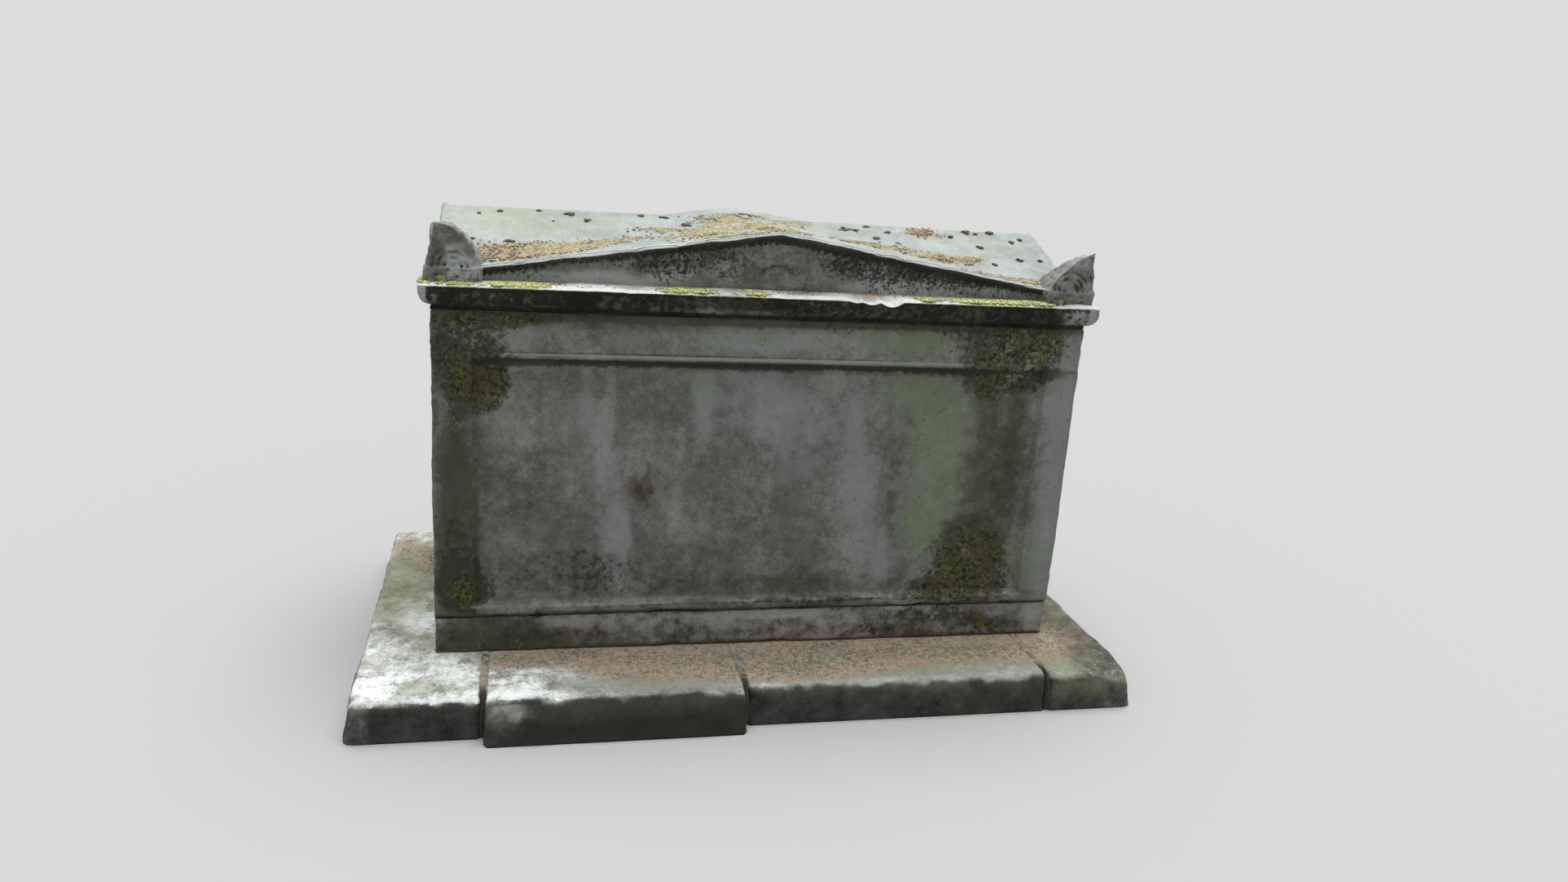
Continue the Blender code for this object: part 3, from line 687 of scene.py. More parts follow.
x, y, z = points[..., 0], points[..., 1], points[..., 2]
nearEdge = np.abs(points[..., :2] - chestMiddle[:2]) - plinthHalf + 0.02
outer = np.clip(ease(0.0, 0.004, nearEdge).sum(-1), 0, 1)
push = plinth["waves"] * layeredNoise(points, 0.16, 42, 3) - 0.001
push += plinth["roughness"] * layeredNoise(points, 0.03, 43, 3)
upperPart = ease(plinthHigh[2] - plinth["biteHeight"], plinthHigh[2], z)
frontMask = (normal[..., 1] < -0.3) * 1.0
ragged = (0.6 + 0.6 * smoothNoise(points, 0.02, 44)) * upperPart * frontMask
for place, width, depth in plinth["bites"]:
    push -= depth * np.exp(-(((x - place) / width) ** 2)) * ragged
points = points + normal * (push * outer * (1 - ease(0.97, 1.0, normal[..., 2])))[..., None]
points[..., 2] = np.clip(points[..., 2], plinthLow[2], plinthHigh[2])
aside = 1 - frontMask
cloud = smoothNoise(points, 0.2, 45)
joints = 0.7 * (1 - ease(plinthLow[2], plinthLow[2] + 0.02, z)) + 1.1 * ease(plinthHigh[2] - 0.004, plinthHigh[2] - 0.001, z)
wornLight = ease(0.25, 0.6, normal[..., 2]) * (1 - ease(0.85, 0.97, normal[..., 2]))
wornLight = wornLight * ease(-0.45, -0.25, x) * (1 - ease(0.35, 0.55, x)) * frontMask
masks = {
    "ochre": spots(x, z, plinth["ochre"]) * frontMask + aside * 0.35 * ease(0.2, 0.8, cloud),
    "pale": spots(x, z, plinth["pale"]) * frontMask + aside * 0.5 * ease(0.3, 0.9, smoothNoise(points, 0.12, 46)),
    "grimeAndShade": spots(x, z, plinth["grimeAndShade"]) * frontMask + aside * 0.7 * ease(-0.3, 0.5, -cloud) + joints,
    "moss": spots(x, z, plinth["moss"]) * frontMask + aside * 0.45 * ease(0.1, 0.8, smoothNoise(points, 0.1, 47)),
    "edge": 0.7 * wornLight,
    "lichenAndShade": 0.27 + 0.2 * cloud + 0.5 * ease(plinthHigh[2] - 0.008, plinthHigh[2] - 0.001, z),
    "fleck": 0.3 * frontMask * ease(-0.1, 0.7, smoothNoise(points, 0.06, 48)), "spots": 0.3 * frontMask,
}
makePiece("plinthCourse", points, ringFaces(*points.shape[:2]), masks, plinthStone, "plinth_course")

# Chest

chest = {
    "frontStep": 0.008, "endStep": 0.0145, "backStep": 0.018, "rowStep": 0.008,
    "wall": 0.09, "floor": 0.10, "strip": 0.11, "frieze": 0.115, "footRail": 0.024,
    "frontSink": 0.018, "plainSink": 0.010, "beadRadius": 0.009, "beadProud": 0.0055, "sillHeight": 0.016,
    "sillLip": 0.006,
    "arris": 0.005, "wornArris": 0.009, "waves": 0.0024, "roughness": 0.0013,
    "beadAngles": (-60, -35, -12, 12, 35, 60), "beadClear": 0.0078, "rimInsets": (0.007, 0.02, 0.05),
    "pits": ((-0.66, 0.243, 0.009), (-0.335, 0.615, 0.010)), "pitDepth": 0.012,  # across, up, half width
    "mossSwell": 0.005, "sillBreak": 0.010,
    # Painted patches: across, up, half width, half height and strength
    "moss": (
        (-0.84, 1.02, 0.085, 0.10, 0.52), (-0.92, 1.06, 0.055, 0.08, 0.30), (-0.79, 0.93, 0.040, 0.075, 0.75),
        (-0.80, 1.12, 0.13, 0.022, 0.6),
        (-0.86, 0.92, 0.06, 0.08, 0.5), (-0.66, 1.135, 0.12, 0.012, 0.5), (0.72, 1.09, 0.17, 0.075, 0.66),
        (0.70, 0.975, 0.095, 0.06, 0.72),
        (0.86, 1.10, 0.08, 0.06, 0.56), (0.80, 1.00, 0.10, 0.03, 0.6), (0.70, 0.385, 0.135, 0.125, 0.92),
        (0.58, 0.290, 0.11, 0.035, 0.6), (-0.885, 0.35, 0.055, 0.09, 0.46),
        (-0.86, 0.30, 0.06, 0.05, 0.45), (0.20, 0.262, 0.30, 0.010, 0.55), (-0.35, 0.262, 0.2, 0.008, 0.4),
        (-0.955, 0.90, 0.02, 0.20, 0.35),
        (0.84, 0.96, 0.05, 0.03, 0.45), (-0.90, 0.80, 0.04, 0.10, 0.35), (0.80, 0.30, 0.05, 0.04, 0.35),
    ),
    "algae": (
        (0.575, 0.66, 0.090, 0.24, 0.70), (0.50, 0.86, 0.12, 0.12, 0.4), (0.45, 0.97, 0.10, 0.08, 0.5),
        (0.88, 0.40, 0.08, 0.12, 0.3), (-0.90, 0.68, 0.055, 0.25, 0.35), (0.94, 0.36, 0.08, 0.11, 0.25),
        (-0.22, 0.95, 0.08, 0.07, 0.4), (-0.62, 1.12, 0.08, 0.03, 0.5), (0.72, 0.90, 0.09, 0.06, 0.5),
        (0.50, 0.47, 0.06, 0.10, 0.5),
        (-0.48, 0.88, 0.06, 0.12, 0.3), (0.15, 1.10, 0.45, 0.03, 0.35), (-0.96, 0.85, 0.02, 0.35, 0.4),
        (-0.75, 1.00, 0.10, 0.04, 0.4),
        (0.40, 1.10, 0.16, 0.05, 0.4), (-0.20, 1.09, 0.14, 0.05, 0.25),
    ),
    "grimeAndShade": (
        (0.73, 0.68, 0.085, 0.30, 0.72), (-0.850, 0.70, 0.055, 0.34, 0.48), (-0.92, 0.55, 0.05, 0.30, 0.45),
        (-0.372, 0.625, 0.012, 0.016, 1.0), (-0.355, 0.60, 0.010, 0.014, 0.9), (-0.15, 0.37, 0.42, 0.09, 0.28),
        (-0.72, 0.46, 0.09, 0.13, 0.25),
        # The band at 1.0125 up is painted shade under the bead, the one at 1.144 painted shade with dark grime under
        # the cornice, and the thin one at 1.037 a dark line over the bead
        (0.425, 0.62, 0.022, 0.19, 0.5), (0.82, 0.76, 0.04, 0.25, 0.5), (0.0, 1.0125, 0.90, 0.0085, 1.2),
        (-0.2, 1.037, 0.75, 0.003, 1.0), (0.0, 1.144, 0.98, 0.014, 1.15), (-0.30, 1.122, 0.6, 0.02, 0.45),
        (0.3, 0.995, 0.6, 0.012, 0.5),
        (-0.68, 0.66, 0.10, 0.12, 0.35), (-0.90, 0.60, 0.05, 0.16, 0.45), (0.10, 0.30, 0.50, 0.05, 0.45),
        (0.62, 0.50, 0.05, 0.08, 0.2),
        (0.80, 1.00, 0.10, 0.02, 0.8), (-0.90, 0.35, 0.06, 0.14, 0.6), (-0.30, 0.42, 0.14, 0.08, 0.3),
        (-0.87, 1.03, 0.10, 0.12, 0.1),
        (0.76, 1.07, 0.15, 0.08, 0.45), (0.70, 0.40, 0.12, 0.10, 0.3), (-0.05, 0.62, 0.05, 0.20, 0.25),
        (-0.60, 0.36, 0.18, 0.08, 0.28),
    ),
    "pale": (
        (0.285, 0.66, 0.040, 0.26, 0.6), (0.345, 0.50, 0.030, 0.20, 0.6), (0.405, 0.36, 0.022, 0.11, 0.9),
        (-0.455, 0.58, 0.050, 0.17, 0.42), (-0.43, 0.43, 0.04, 0.13, 0.6), (-0.480, 0.80, 0.022, 0.09, 0.45),
        (-0.46, 0.93, 0.018, 0.10, 0.40), (-0.26, 0.52, 0.03, 0.08, 0.5),
        (-0.19, 0.89, 0.035, 0.12, 0.6), (-0.03, 1.10, 0.16, 0.05, 1.0), (-0.70, 0.87, 0.12, 0.09, 0.3),
        (0.14, 0.76, 0.12, 0.16, 0.4),
        (0.945, 0.74, 0.045, 0.44, 0.25), (-0.62, 1.085, 0.13, 0.035, 0.2), (-0.53, 0.88, 0.022, 0.14, 0.5),
        (-0.66, 0.52, 0.035, 0.09, 0.35),
        (-0.42, 0.42, 0.028, 0.12, 0.6), (0.20, 1.085, 0.30, 0.025, 0.4), (-0.62, 0.262, 0.20, 0.014, 0.45),
        (0.46, 0.255, 0.020, 0.012, 0.9),
        # The strip at 1.030 up is a painted highlight along the top of the bead
        (0.36, 0.93, 0.03, 0.10, 0.4), (0.10, 1.030, 0.85, 0.004, 1.1), (-0.20, 0.45, 0.05, 0.05, 0.3),
        (-0.02, 0.88, 0.14, 0.09, 0.5),
        (-0.48, 0.75, 0.03, 0.12, 0.4), (0.955, 0.40, 0.03, 0.20, 0.5),
    ),
    "ochre": (
        (-0.385, 0.635, 0.036, 0.030, 0.75), (-0.350, 0.600, 0.03, 0.04, 0.7), (-0.345, 0.66, 0.012, 0.05, 0.6),
        (-0.56, 0.50, 0.09, 0.07, 0.25), (-0.23, 0.66, 0.09, 0.07, 0.25),
        (0.75, 0.255, 0.06, 0.012, 0.7), (0.40, 0.78, 0.02, 0.12, 0.35), (-0.90, 1.07, 0.05, 0.05, 0.55),
        (-0.85, 1.00, 0.06, 0.06, 0.4),
        (0.14, 0.44, 0.20, 0.06, 0.2), (0.80, 1.10, 0.10, 0.04, 0.35),
    ),
    "lichenAndShade": (
        (-0.89, 0.40, 0.06, 0.13, 0.36), (-0.87, 0.32, 0.08, 0.06, 0.4), (-0.90, 0.62, 0.05, 0.14, 0.16),
        (-0.15, 0.36, 0.50, 0.07, 0.16), (-0.60, 0.38, 0.22, 0.08, 0.12),
        (0.80, 1.06, 0.14, 0.10, 0.22), (-0.87, 1.03, 0.10, 0.12, 0.2), (0.74, 0.66, 0.05, 0.22, 0.12),
        (0.20, 1.13, 0.60, 0.02, 0.25),
    ),
    "cool": (
        (0.95, 0.70, 0.05, 0.42, 0.95), (-0.03, 1.10, 0.08, 0.05, 0.8), (0.345, 0.58, 0.030, 0.18, 0.7),
        (0.405, 0.38, 0.022, 0.11, 0.8), (0.14, 0.80, 0.14, 0.14, 0.45),
        (-0.05, 0.94, 0.12, 0.06, 0.6), (-0.44, 0.50, 0.04, 0.16, 0.35), (-0.955, 0.50, 0.014, 0.26, 0.6),
        (-0.93, 0.62, 0.02, 0.10, 0.45), (0.285, 0.80, 0.03, 0.14, 0.5), (-0.90, 1.125, 0.03, 0.015, 0.8),
    ),
    "fleck": (
        (-0.88, 1.07, 0.06, 0.05, 1.0), (-0.80, 0.87, 0.04, 0.05, 0.8), (0.80, 1.06, 0.12, 0.07, 1.0),
        (0.71, 0.37, 0.09, 0.07, 1.1),
        (-0.90, 0.87, 0.04, 0.08, 0.7), (0.74, 0.98, 0.06, 0.05, 0.9), (-0.05, 0.36, 0.45, 0.07, 0.25),
    ),
}
panelBottom = chestLow[2] + chest["footRail"]
panelTop = chestHigh[2] - chest["frieze"]
beadMiddle = panelTop - chest["beadRadius"]
longHalf, shortHalf = chestHalf - chest["strip"]
track = pieceTrack(chest, chestHalf, (-longHalf, longHalf), (-shortHalf, shortHalf))
knots = (panelBottom + chest["sillLip"], panelBottom + chest["sillHeight"], beadMiddle - chest["beadRadius"], panelTop)
heights = spaced(chestLow[2], chestHigh[2], chest["rowStep"], knots)
beadRows = beadMiddle + chest["beadRadius"] * np.sin(np.radians(chest["beadAngles"]))
heights = np.concatenate([heights[np.abs(heights - beadMiddle) > chest["beadClear"]], beadRows])
outerRows = [(0, z, 1) for z in np.unique(heights)]
floorTop = chestLow[2] + chest["floor"]
rows = [(0, chestLow[2], 0), (0, chestLow[2], 0.95)]
firstOuter = len(rows)
rows += outerRows + [(inset, chestHigh[2], 1) for inset in (*chest["rimInsets"], chest["wall"])]
rows += [(chest["wall"], z, 1) for z in np.linspace(chestHigh[2] - 0.03, floorTop, 8)]
rows += [(chest["wall"], floorTop, 0.5), (chest["wall"], floorTop, 0)]
points = carryRound(track, chestMiddle, chestHalf, rows)
outerPart = slice(firstOuter, firstOuter + len(outerRows) + 2)
radius = chest["arris"] + chest["wornArris"] * ease(0.1, 0.9, smoothNoise(points, 0.06, 61))
rounded = roundArrises(points, chestLow, chestHigh, radius)
points[outerPart] = rounded[outerPart]


# How far the face stands out at each place: sunk panel, half-round bead over it and sloping sill under it
def frontRelief(across, up):
    inside = (np.abs(across) < longHalf) & (up > panelBottom) & (up < panelTop)
    depth = np.where(inside, -chest["frontSink"], 0.0)
    rise = np.clip((up - panelBottom - chest["sillLip"]) / (chest["sillHeight"] - chest["sillLip"]), 0, 1)
    depth = np.where(inside & (rise < 1), -chest["frontSink"] * rise, depth)
    fromBead = (up - beadMiddle) / chest["beadRadius"]
    bead = chest["beadProud"] * np.sqrt(np.clip(1 - fromBead**2, 0, 1))
    return np.where(inside & (np.abs(fromBead) <= 1.001), bead, depth)


# The plain sides: only a sunk panel
def plainRelief(across, up, half):
    inside = (np.abs(across) < half) & (up > panelBottom) & (up < panelTop)
    return np.where(inside, -chest["plainSink"], 0.0)


x, y, z = np.moveaxis(points - chestMiddle * np.array([1, 1, 0]), -1, 0)
onSide = track[2][None, :]
onFace = np.zeros(points.shape[:2], bool)
onFace[firstOuter:firstOuter + len(outerRows)] = True
worn = smoothNoise(points, 0.05, 63)
front = onFace & (onSide == 0)
relief = np.where(front, frontRelief(x, z + 0.0012 * worn), 0)
relief = np.where(onFace & (onSide == 2), plainRelief(x, z, longHalf), relief)
relief = np.where(onFace & ((onSide == 1) | (onSide == 3)), plainRelief(y, z, shortHalf), relief)
ways = np.array([(0, -1, 0), (1, 0, 0), (0, 1, 0), (-1, 0, 0)], float)[onSide]
sillBreaks = ease(0.1, 0.8, smoothNoise(points, 0.035, 64)) * ease(-0.5, 0.2, x) * (np.abs(z - panelBottom) < 0.012)
relief = relief - chest["sillBreak"] * sillBreaks * front
points = points + ways * relief[..., None]
normal = outwards(ringNormals(points), firstOuter + 20, 40, 1, -1)
push = chest["waves"] * layeredNoise(points, 0.22, 65, 3) + chest["roughness"] * layeredNoise(points, 0.03, 66, 3)
mossy = spots(points[..., 0], points[..., 2], chest["moss"]) * front
push += chest["mossSwell"] * mossy * (0.5 + 0.9 * smoothNoise(points, 0.022, 67))
for place, up, width in chest["pits"]:
    away = (points[..., 0] - place) ** 2 + (points[..., 2] - up) ** 2
    push -= chest["pitDepth"] * front * np.exp(-away / width**2)
points = points + normal * (push * onFace)[..., None]
points[..., 2] = np.clip(points[..., 2], chestLow[2], chestHigh[2])
x, y, z = points[..., 0], points[..., 1], points[..., 2]
frontMask, asideMask = front * 1.0, (onFace & ~front) * 1.0
cloud, small = smoothNoise(points, 0.25, 68), smoothNoise(points, 0.11, 69)
crown, foot = ease(1.0, 1.14, z), 1 - ease(0.25, 0.42, z)
crack = 1.4 * np.exp(-(((z - chestLow[2]) / 0.009) ** 2)) * ease(-0.9, 0.1, small)
# Painted shadow under the bead, laid as a dark line into the lichen and kept clear of moss
beadShade = np.exp(-(((z - beadMiddle + 2.0 * chest["beadRadius"]) / 0.0110) ** 2)) * ease(-1.0, -0.1, small)
beadShade = beadShade * (np.abs(x - chestMiddle[0]) < longHalf)
sillLight = frontMask * 0.62 * np.exp(-(((z - panelBottom - chest["sillLip"]) / 0.007) ** 2)) * ease(-0.6, 0.3, small)
sideMoss = np.clip(0.6 * crown * ease(0.1, 0.7, small) + 0.65 * foot * ease(0.0, 0.6, cloud), 0, 1)
frontLichenAndBeadShade = 0.10 + 0.12 * foot + 0.45 * mossy + 0.15 * cloud + 1.1 * beadShade + spots(x, z, chest["lichenAndShade"])
fleckShare = ease(-0.3, 0.5, smoothNoise(points, 0.045, 70))
arrisLight = 0.35 * ease(0.2, 0.6, np.abs(normal[..., 0]) * np.abs(normal[..., 1]) * 4)
masks = {
    "moss": 0.86 * mossy * (1 - 0.7 * beadShade) + asideMask * sideMoss,
    "algae": spots(x, z, chest["algae"]) * frontMask + asideMask * 0.7 * ease(0.0, 0.9, -0.8 * cloud - 0.5 * small),
    "grimeAndShade": (spots(x, z, chest["grimeAndShade"]) + 0.35 * mossy + crack) * frontMask
    + asideMask * (0.7 * ease(0.1, 0.8, cloud) + 0.5 * crown),
    "pale": spots(x, z, chest["pale"]) * frontMask + asideMask * 0.6 * ease(0.2, 0.8, small),
    "ochre": spots(x, z, chest["ochre"]) * frontMask,
    "cool": spots(x, z, chest["cool"]) * frontMask,
    "fleck": spots(x, z, chest["fleck"]) * fleckShare * frontMask + asideMask * 0.4 * crown,
    "lichenAndShade": frontLichenAndBeadShade * frontMask + asideMask * (0.15 + 0.2 * ease(0.0, 0.8, cloud)),
    "spots": 0.3 * onFace,
    "edge": (arrisLight + sillLight) * onFace,
}
makePiece("chestBlock", points, ringFaces(*points.shape[:2]), masks, chestStone, "chest")

# Lid: cornice

cornice = {
    "frontStep": 0.008, "endStep": 0.012, "backStep": 0.016,
    "height": 0.08, "projection": 0.03, "neck": 0.012, "fillet": 0.018, "wash": 0.008, "roll": 0.007,
    "frontLedge": 0.052, "endLedge": 0.038,
    "waves": 0.0022, "roughness": 0.0014, "corner": 0.006, "wornCorner": 0.006, "neckRows": (0.005, 0.010),
    "ledgeInsets": (0.012, 0.018, 0.025, 0.033, 0.042, 0.052, 0.065, 0.08), "lastInset": 0.09,
    # The broken lip, across, half width and depth: dips cut it down from above, bites cut it back
    "dips": ((0.240, 0.022, 0.006), (0.287, 0.030, 0.010), (0.348, 0.036, 0.015)),
    "bites": (
        (0.275, 0.032, 0.006), (0.350, 0.024, 0.006), (0.215, 0.020, 0.004), (-0.20, 0.03, 0.004),
        (0.62, 0.02, 0.005), (-0.55, 0.03, 0.003), (0.90, 0.02, 0.005), (0.47, 0.02, 0.004),
    ),
    "ledgeBeds": (
        (-0.87, 0.06), (-0.77, 0.035), (-0.69, 0.05), (-0.30, 0.03), (-0.23, 0.05), (-0.06, 0.04), (0.46, 0.03),
        (0.60, 0.08), (0.72, 0.09), (0.84, 0.03),
    ),
    "pale": (
        (0.96, 1.18, 0.05, 0.05, 0.8), (-0.75, 1.19, 0.12, 0.02, 0.4), (-0.98, 1.20, 0.04, 0.04, 0.7),
        (-0.30, 1.17, 0.25, 0.015, 0.35), (0.10, 1.165, 0.3, 0.012, 0.3),
    ),
    "algae": ((-0.70, 1.16, 0.20, 0.02, 0.5), (0.00, 1.165, 0.40, 0.02, 0.5), (0.50, 1.17, 0.30, 0.02, 0.4)),
}
cornerTop = lidLow[2] + cornice["height"]
track = pieceTrack(cornice, lidHalf)
ovolo = cornice["height"] - cornice["neck"] - cornice["fillet"] - cornice["wash"]
out = cornice["projection"]
profile = [(out, 0.0, 0), (out, 0.0, 0.9), (out, 0.0, 1)]
profile += [(out, z, 1) for z in cornice["neckRows"]]
for angle in np.linspace(0, math.pi / 2, 9):
    profile.append((out * (1 - math.sin(angle)), cornice["neck"] + ovolo * (1 - math.cos(angle)), 1))
filletTop = cornice["height"] - cornice["wash"]
profile += [(0, z, 1) for z in np.linspace(cornice["neck"] + ovolo, filletTop - cornice["roll"], 4)[1:]]
for angle in np.linspace(0, math.pi / 2, 5)[1:]:
    down, back = cornice["roll"] * (1 - math.sin(angle)), cornice["roll"] * (1 - math.cos(angle))
    profile.append((back, filletTop - down, 1))
firstLedge = len(profile)
profile += [(inset, filletTop, 1) for inset in cornice["ledgeInsets"]]
profile += [(cornice["lastInset"], filletTop, 0.97), (cornice["lastInset"], filletTop, 0)]
rows = [(inset, lidLow[2] + z, share) for inset, z, share in profile]
points = carryRound(track, lidMiddle, lidHalf, rows)
fromEnd, fromLong = np.moveaxis(lidHalf - np.abs(points[..., :2] - lidMiddle[:2]), -1, 0)
wash = np.minimum(np.clip(fromEnd / cornice["endLedge"], 0, 1), np.clip(fromLong / cornice["frontLedge"], 0, 1))
points[firstLedge:, :, 2] += cornice["wash"] * wash[firstLedge:]
corner = cornice["corner"] + cornice["wornCorner"] * ease(0, 0.8, smoothNoise(points, 0.05, 71))
profile = np.array(profile)
solid = np.append(lidHalf, 1.0) - profile[:, 0][:, None, None] * np.array([1, 1, 0])
flat = (points - lidMiddle) * np.array([1, 1, 0])
full = profile[:, 2][:, None, None] > 0.99
turned = roundArrises(flat, -solid, solid, corner)
points[..., :2] = np.where(full, turned[..., :2] + lidMiddle[:2], points[..., :2])
normal = outwards(ringNormals(points), 15, 40, 1, -1)
inset = np.minimum(fromEnd, fromLong)
up = points[..., 2] - lidLow[2]
push = cornice["waves"] * layeredNoise(points, 0.18, 72, 3) - 0.001
push += cornice["roughness"] * layeredNoise(points, 0.028, 73, 3)
lip = ease(0.045, 0.072, up) * (1 - ease(0.012, 0.04, inset))
frontMask = (points[..., 1] < lidMiddle[1] - lidHalf[1] + cornice["lastInset"]) * 1.0
ragged = lip * frontMask * (0.8 + 0.5 * smoothNoise(points, 0.015, 74))
for place, width, depth in cornice["bites"]:
    push -= depth * np.exp(-(((points[..., 0] - place) / width) ** 2)) * ragged
push -= 0.005 * lip * ease(0.3, 0.9, smoothNoise(points, 0.045, 75))
shown = (1 - ease(0.07, 0.09, inset)) * ease(0.001, 0.012, up)
points = points + normal * (push * shown)[..., None]
for place, width, depth in cornice["dips"]:
    scoop = np.clip(1 - ((points[..., 0] - place) / width) ** 2, 0, 1)
    points[..., 2] -= depth * scoop * ease(0.030, 0.074, up) * (1 - ease(0.022, 0.050, fromLong)) * frontMask
points[..., 2] = np.maximum(points[..., 2], lidLow[2])
x, y, z = points[..., 0], points[..., 1], points[..., 2]
cloud, small = smoothNoise(points, 0.2, 76), smoothNoise(points, 0.07, 77)
ledgeSpots = np.zeros(x.shape)
for place, width in cornice["ledgeBeds"]:
    ledgeSpots += np.exp(-(((x - place) / width) ** 2))
# Faces turned up take the ledge's top colours, which carry painted light
rolled = ease(0.12, 0.6, normal[..., 2] + 0.12 * small)
aside = 1 - rolled
ends = ease(0.0, 0.02, np.abs(x - lidMiddle[0]) - lidHalf[0] + np.where(x > 0, 0.040, 0.030))
sideLichen = np.clip(0.50 + 0.2 * cloud + 0.3 * ease(0.05, 0.07, up) - 0.7 * ends + 0.12 * (x < -0.5), 0, 1)
# Grime on the cornice face, with painted shade on the tucked neck at its foot
sideGrimeAndFootShade = np.clip(0.38 + 0.2 * cloud + 0.8 * (1 - ease(0.004, 0.016, up)) - 0.4 * ends, 0, 1)
ledgeGrowth = frontMask * np.clip(ledgeSpots, 0, 1) * 0.62 + (1 - frontMask) * 0.5 * ease(0.0, 0.7, small)
masks = {
    "top": rolled, "moss": rolled * ledgeGrowth, "grimeAndShade": aside * sideGrimeAndFootShade,
    "lichenAndShade": aside * sideLichen + rolled * 0.2 * ease(0.2, 0.8, small),
    "pale": aside * (spots(x, z, cornice["pale"]) + 0.35 * ends),
    "algae": aside * spots(x, z, cornice["algae"]) + 0.4 * rolled * ease(0.0, 0.7, -cloud),
    "ochre": rolled * np.clip(0.45 + 0.5 * small, 0, 1) * ease(0.014, 0.034, inset),
    # Worn stone with a painted highlight along the front of the ledge
    "edge": 0.75 * rolled * (1 - ease(0.010, 0.024, inset)) * ease(-0.8, 0.1, cloud),
    "fleck": 0.25 * aside * ease(-0.3, 0.6, small), "spots": 0.4 * rolled,
}
makePiece("lidCornice", points, ringFaces(*points.shape[:2]), masks, corniceStone, "lid")

# Lid: cross-gabled roof with its raking mouldings and tympana

roof = {
    "frontStep": 0.008, "endStep": 0.011, "backStep": 0.016, "radialRows": 92,
    "rise": 0.166, "endRise": 0.012, "edgeLong": 0.432, "edgeEnd": 0.965, "setback": 0.024, "thickness": 0.020,
    "lipRise": 0.005, "lipPlace": 0.010, "lipReach": 0.011, "creaseFill": 0.004, "creaseWidth": 0.010,
    "tuck": 0.012, "wallRows": 22, "footShares": (0, 0.9, 1), "soffitInsets": (0.017, 0.012),
    "topShares": (0.988, 0.98, 0.971), "waves": 0.0028, "roughness": 0.0012,
    "rimWear": 0.006, "rimWaves": 0.0015, "chip": (-0.27, 0.05, 0.012),  # across, half width, depth
    "reliefHalf": 0.115, "reliefFoot": 0.006, "reliefHeight": 0.108, "reliefProud": 0.006, "lineInset": 0.038,
    "lineWidth": 0.006,
    "valleyMoss": (
        (-0.80, -0.215, 0.08, 0.062, 1.0), (-0.70, -0.205, 0.08, 0.060, 1.0), (-0.60, -0.185, 0.09, 0.050, 1.0),
        (-0.49, -0.145, 0.08, 0.036, 0.95),
        (-0.40, -0.105, 0.06, 0.026, 0.8), (-0.29, -0.02, 0.09, 0.020, 0.9), (-0.24, -0.17, 0.06, 0.05, 0.9),
        (-0.13, -0.10, 0.10, 0.10, 0.9),
        (-0.08, 0.06, 0.10, 0.05, 0.85), (0.02, -0.12, 0.09, 0.10, 0.8), (0.13, 0.07, 0.08, 0.03, 0.8),
        (-0.10, -0.27, 0.14, 0.025, 0.9),
        (0.32, -0.05, 0.07, 0.022, 0.95), (0.42, -0.065, 0.06, 0.022, 1.0), (0.52, -0.105, 0.06, 0.025, 1.0),
        (0.62, -0.13, 0.07, 0.022, 1.0),
        (0.69, -0.11, 0.04, 0.014, 0.8), (0.74, -0.27, 0.10, 0.035, 0.9), (0.85, -0.26, 0.05, 0.03, 0.9),
        (0.57, 0.065, 0.055, 0.03, 0.9),
        (-0.66, 0.33, 0.16, 0.03, 0.9), (-0.40, 0.25, 0.14, 0.03, 0.8), (0.40, 0.25, 0.20, 0.03, 0.9),
        (0.72, 0.38, 0.14, 0.03, 0.8), (0.05, 0.30, 0.20, 0.04, 0.5),
    ),
    "tympanumDark": (
        (-0.18, 1.31, 0.18, 0.05, 0.95), (-0.30, 1.25, 0.06, 0.05, 0.8), (-0.42, 1.285, 0.10, 0.02, 0.8),
        (-0.60, 1.25, 0.14, 0.02, 0.5),
        (0.00, 1.375, 0.20, 0.02, 0.9), (0.20, 1.33, 0.12, 0.05, 0.85), (0.32, 1.27, 0.16, 0.06, 0.65),
        (0.55, 1.29, 0.25, 0.025, 0.75),
        (0.70, 1.25, 0.20, 0.03, 0.65), (0.50, 1.24, 0.20, 0.04, 0.35), (-0.80, 1.24, 0.15, 0.02, 0.6),
        (-0.12, 1.25, 0.05, 0.03, 0.5),
    ),
    "tympanumPale": (
        (-0.52, 1.235, 0.16, 0.030, 1.0), (-0.75, 1.235, 0.12, 0.02, 0.8), (-0.30, 1.265, 0.06, 0.03, 0.9),
        (-0.15, 1.27, 0.04, 0.04, 0.6),
        (0.50, 1.245, 0.24, 0.028, 0.85), (0.30, 1.27, 0.08, 0.04, 0.45),
    ),
    "litter": (
        (-0.66, -0.19, 0.17, 0.06, 0.9), (-0.85, -0.20, 0.04, 0.05, 0.8), (0.47, -0.08, 0.16, 0.03, 0.8),
        (0.62, -0.12, 0.12, 0.03, 0.9),
        (0.58, 0.06, 0.06, 0.03, 0.9), (0.30, 0.27, 0.5, 0.04, 0.6), (-0.34, 0.02, 0.06, 0.02, 0.5),
    ),
    "algae": (
        (-0.80, 0.03, 0.20, 0.10, 0.5), (-0.55, 0.02, 0.30, 0.12, 0.35), (0.15, -0.02, 0.15, 0.10, 0.4),
        (0.75, 0.02, 0.2, 0.1, 0.3),
    ),
}
roofMiddle = chestMiddle[:2]


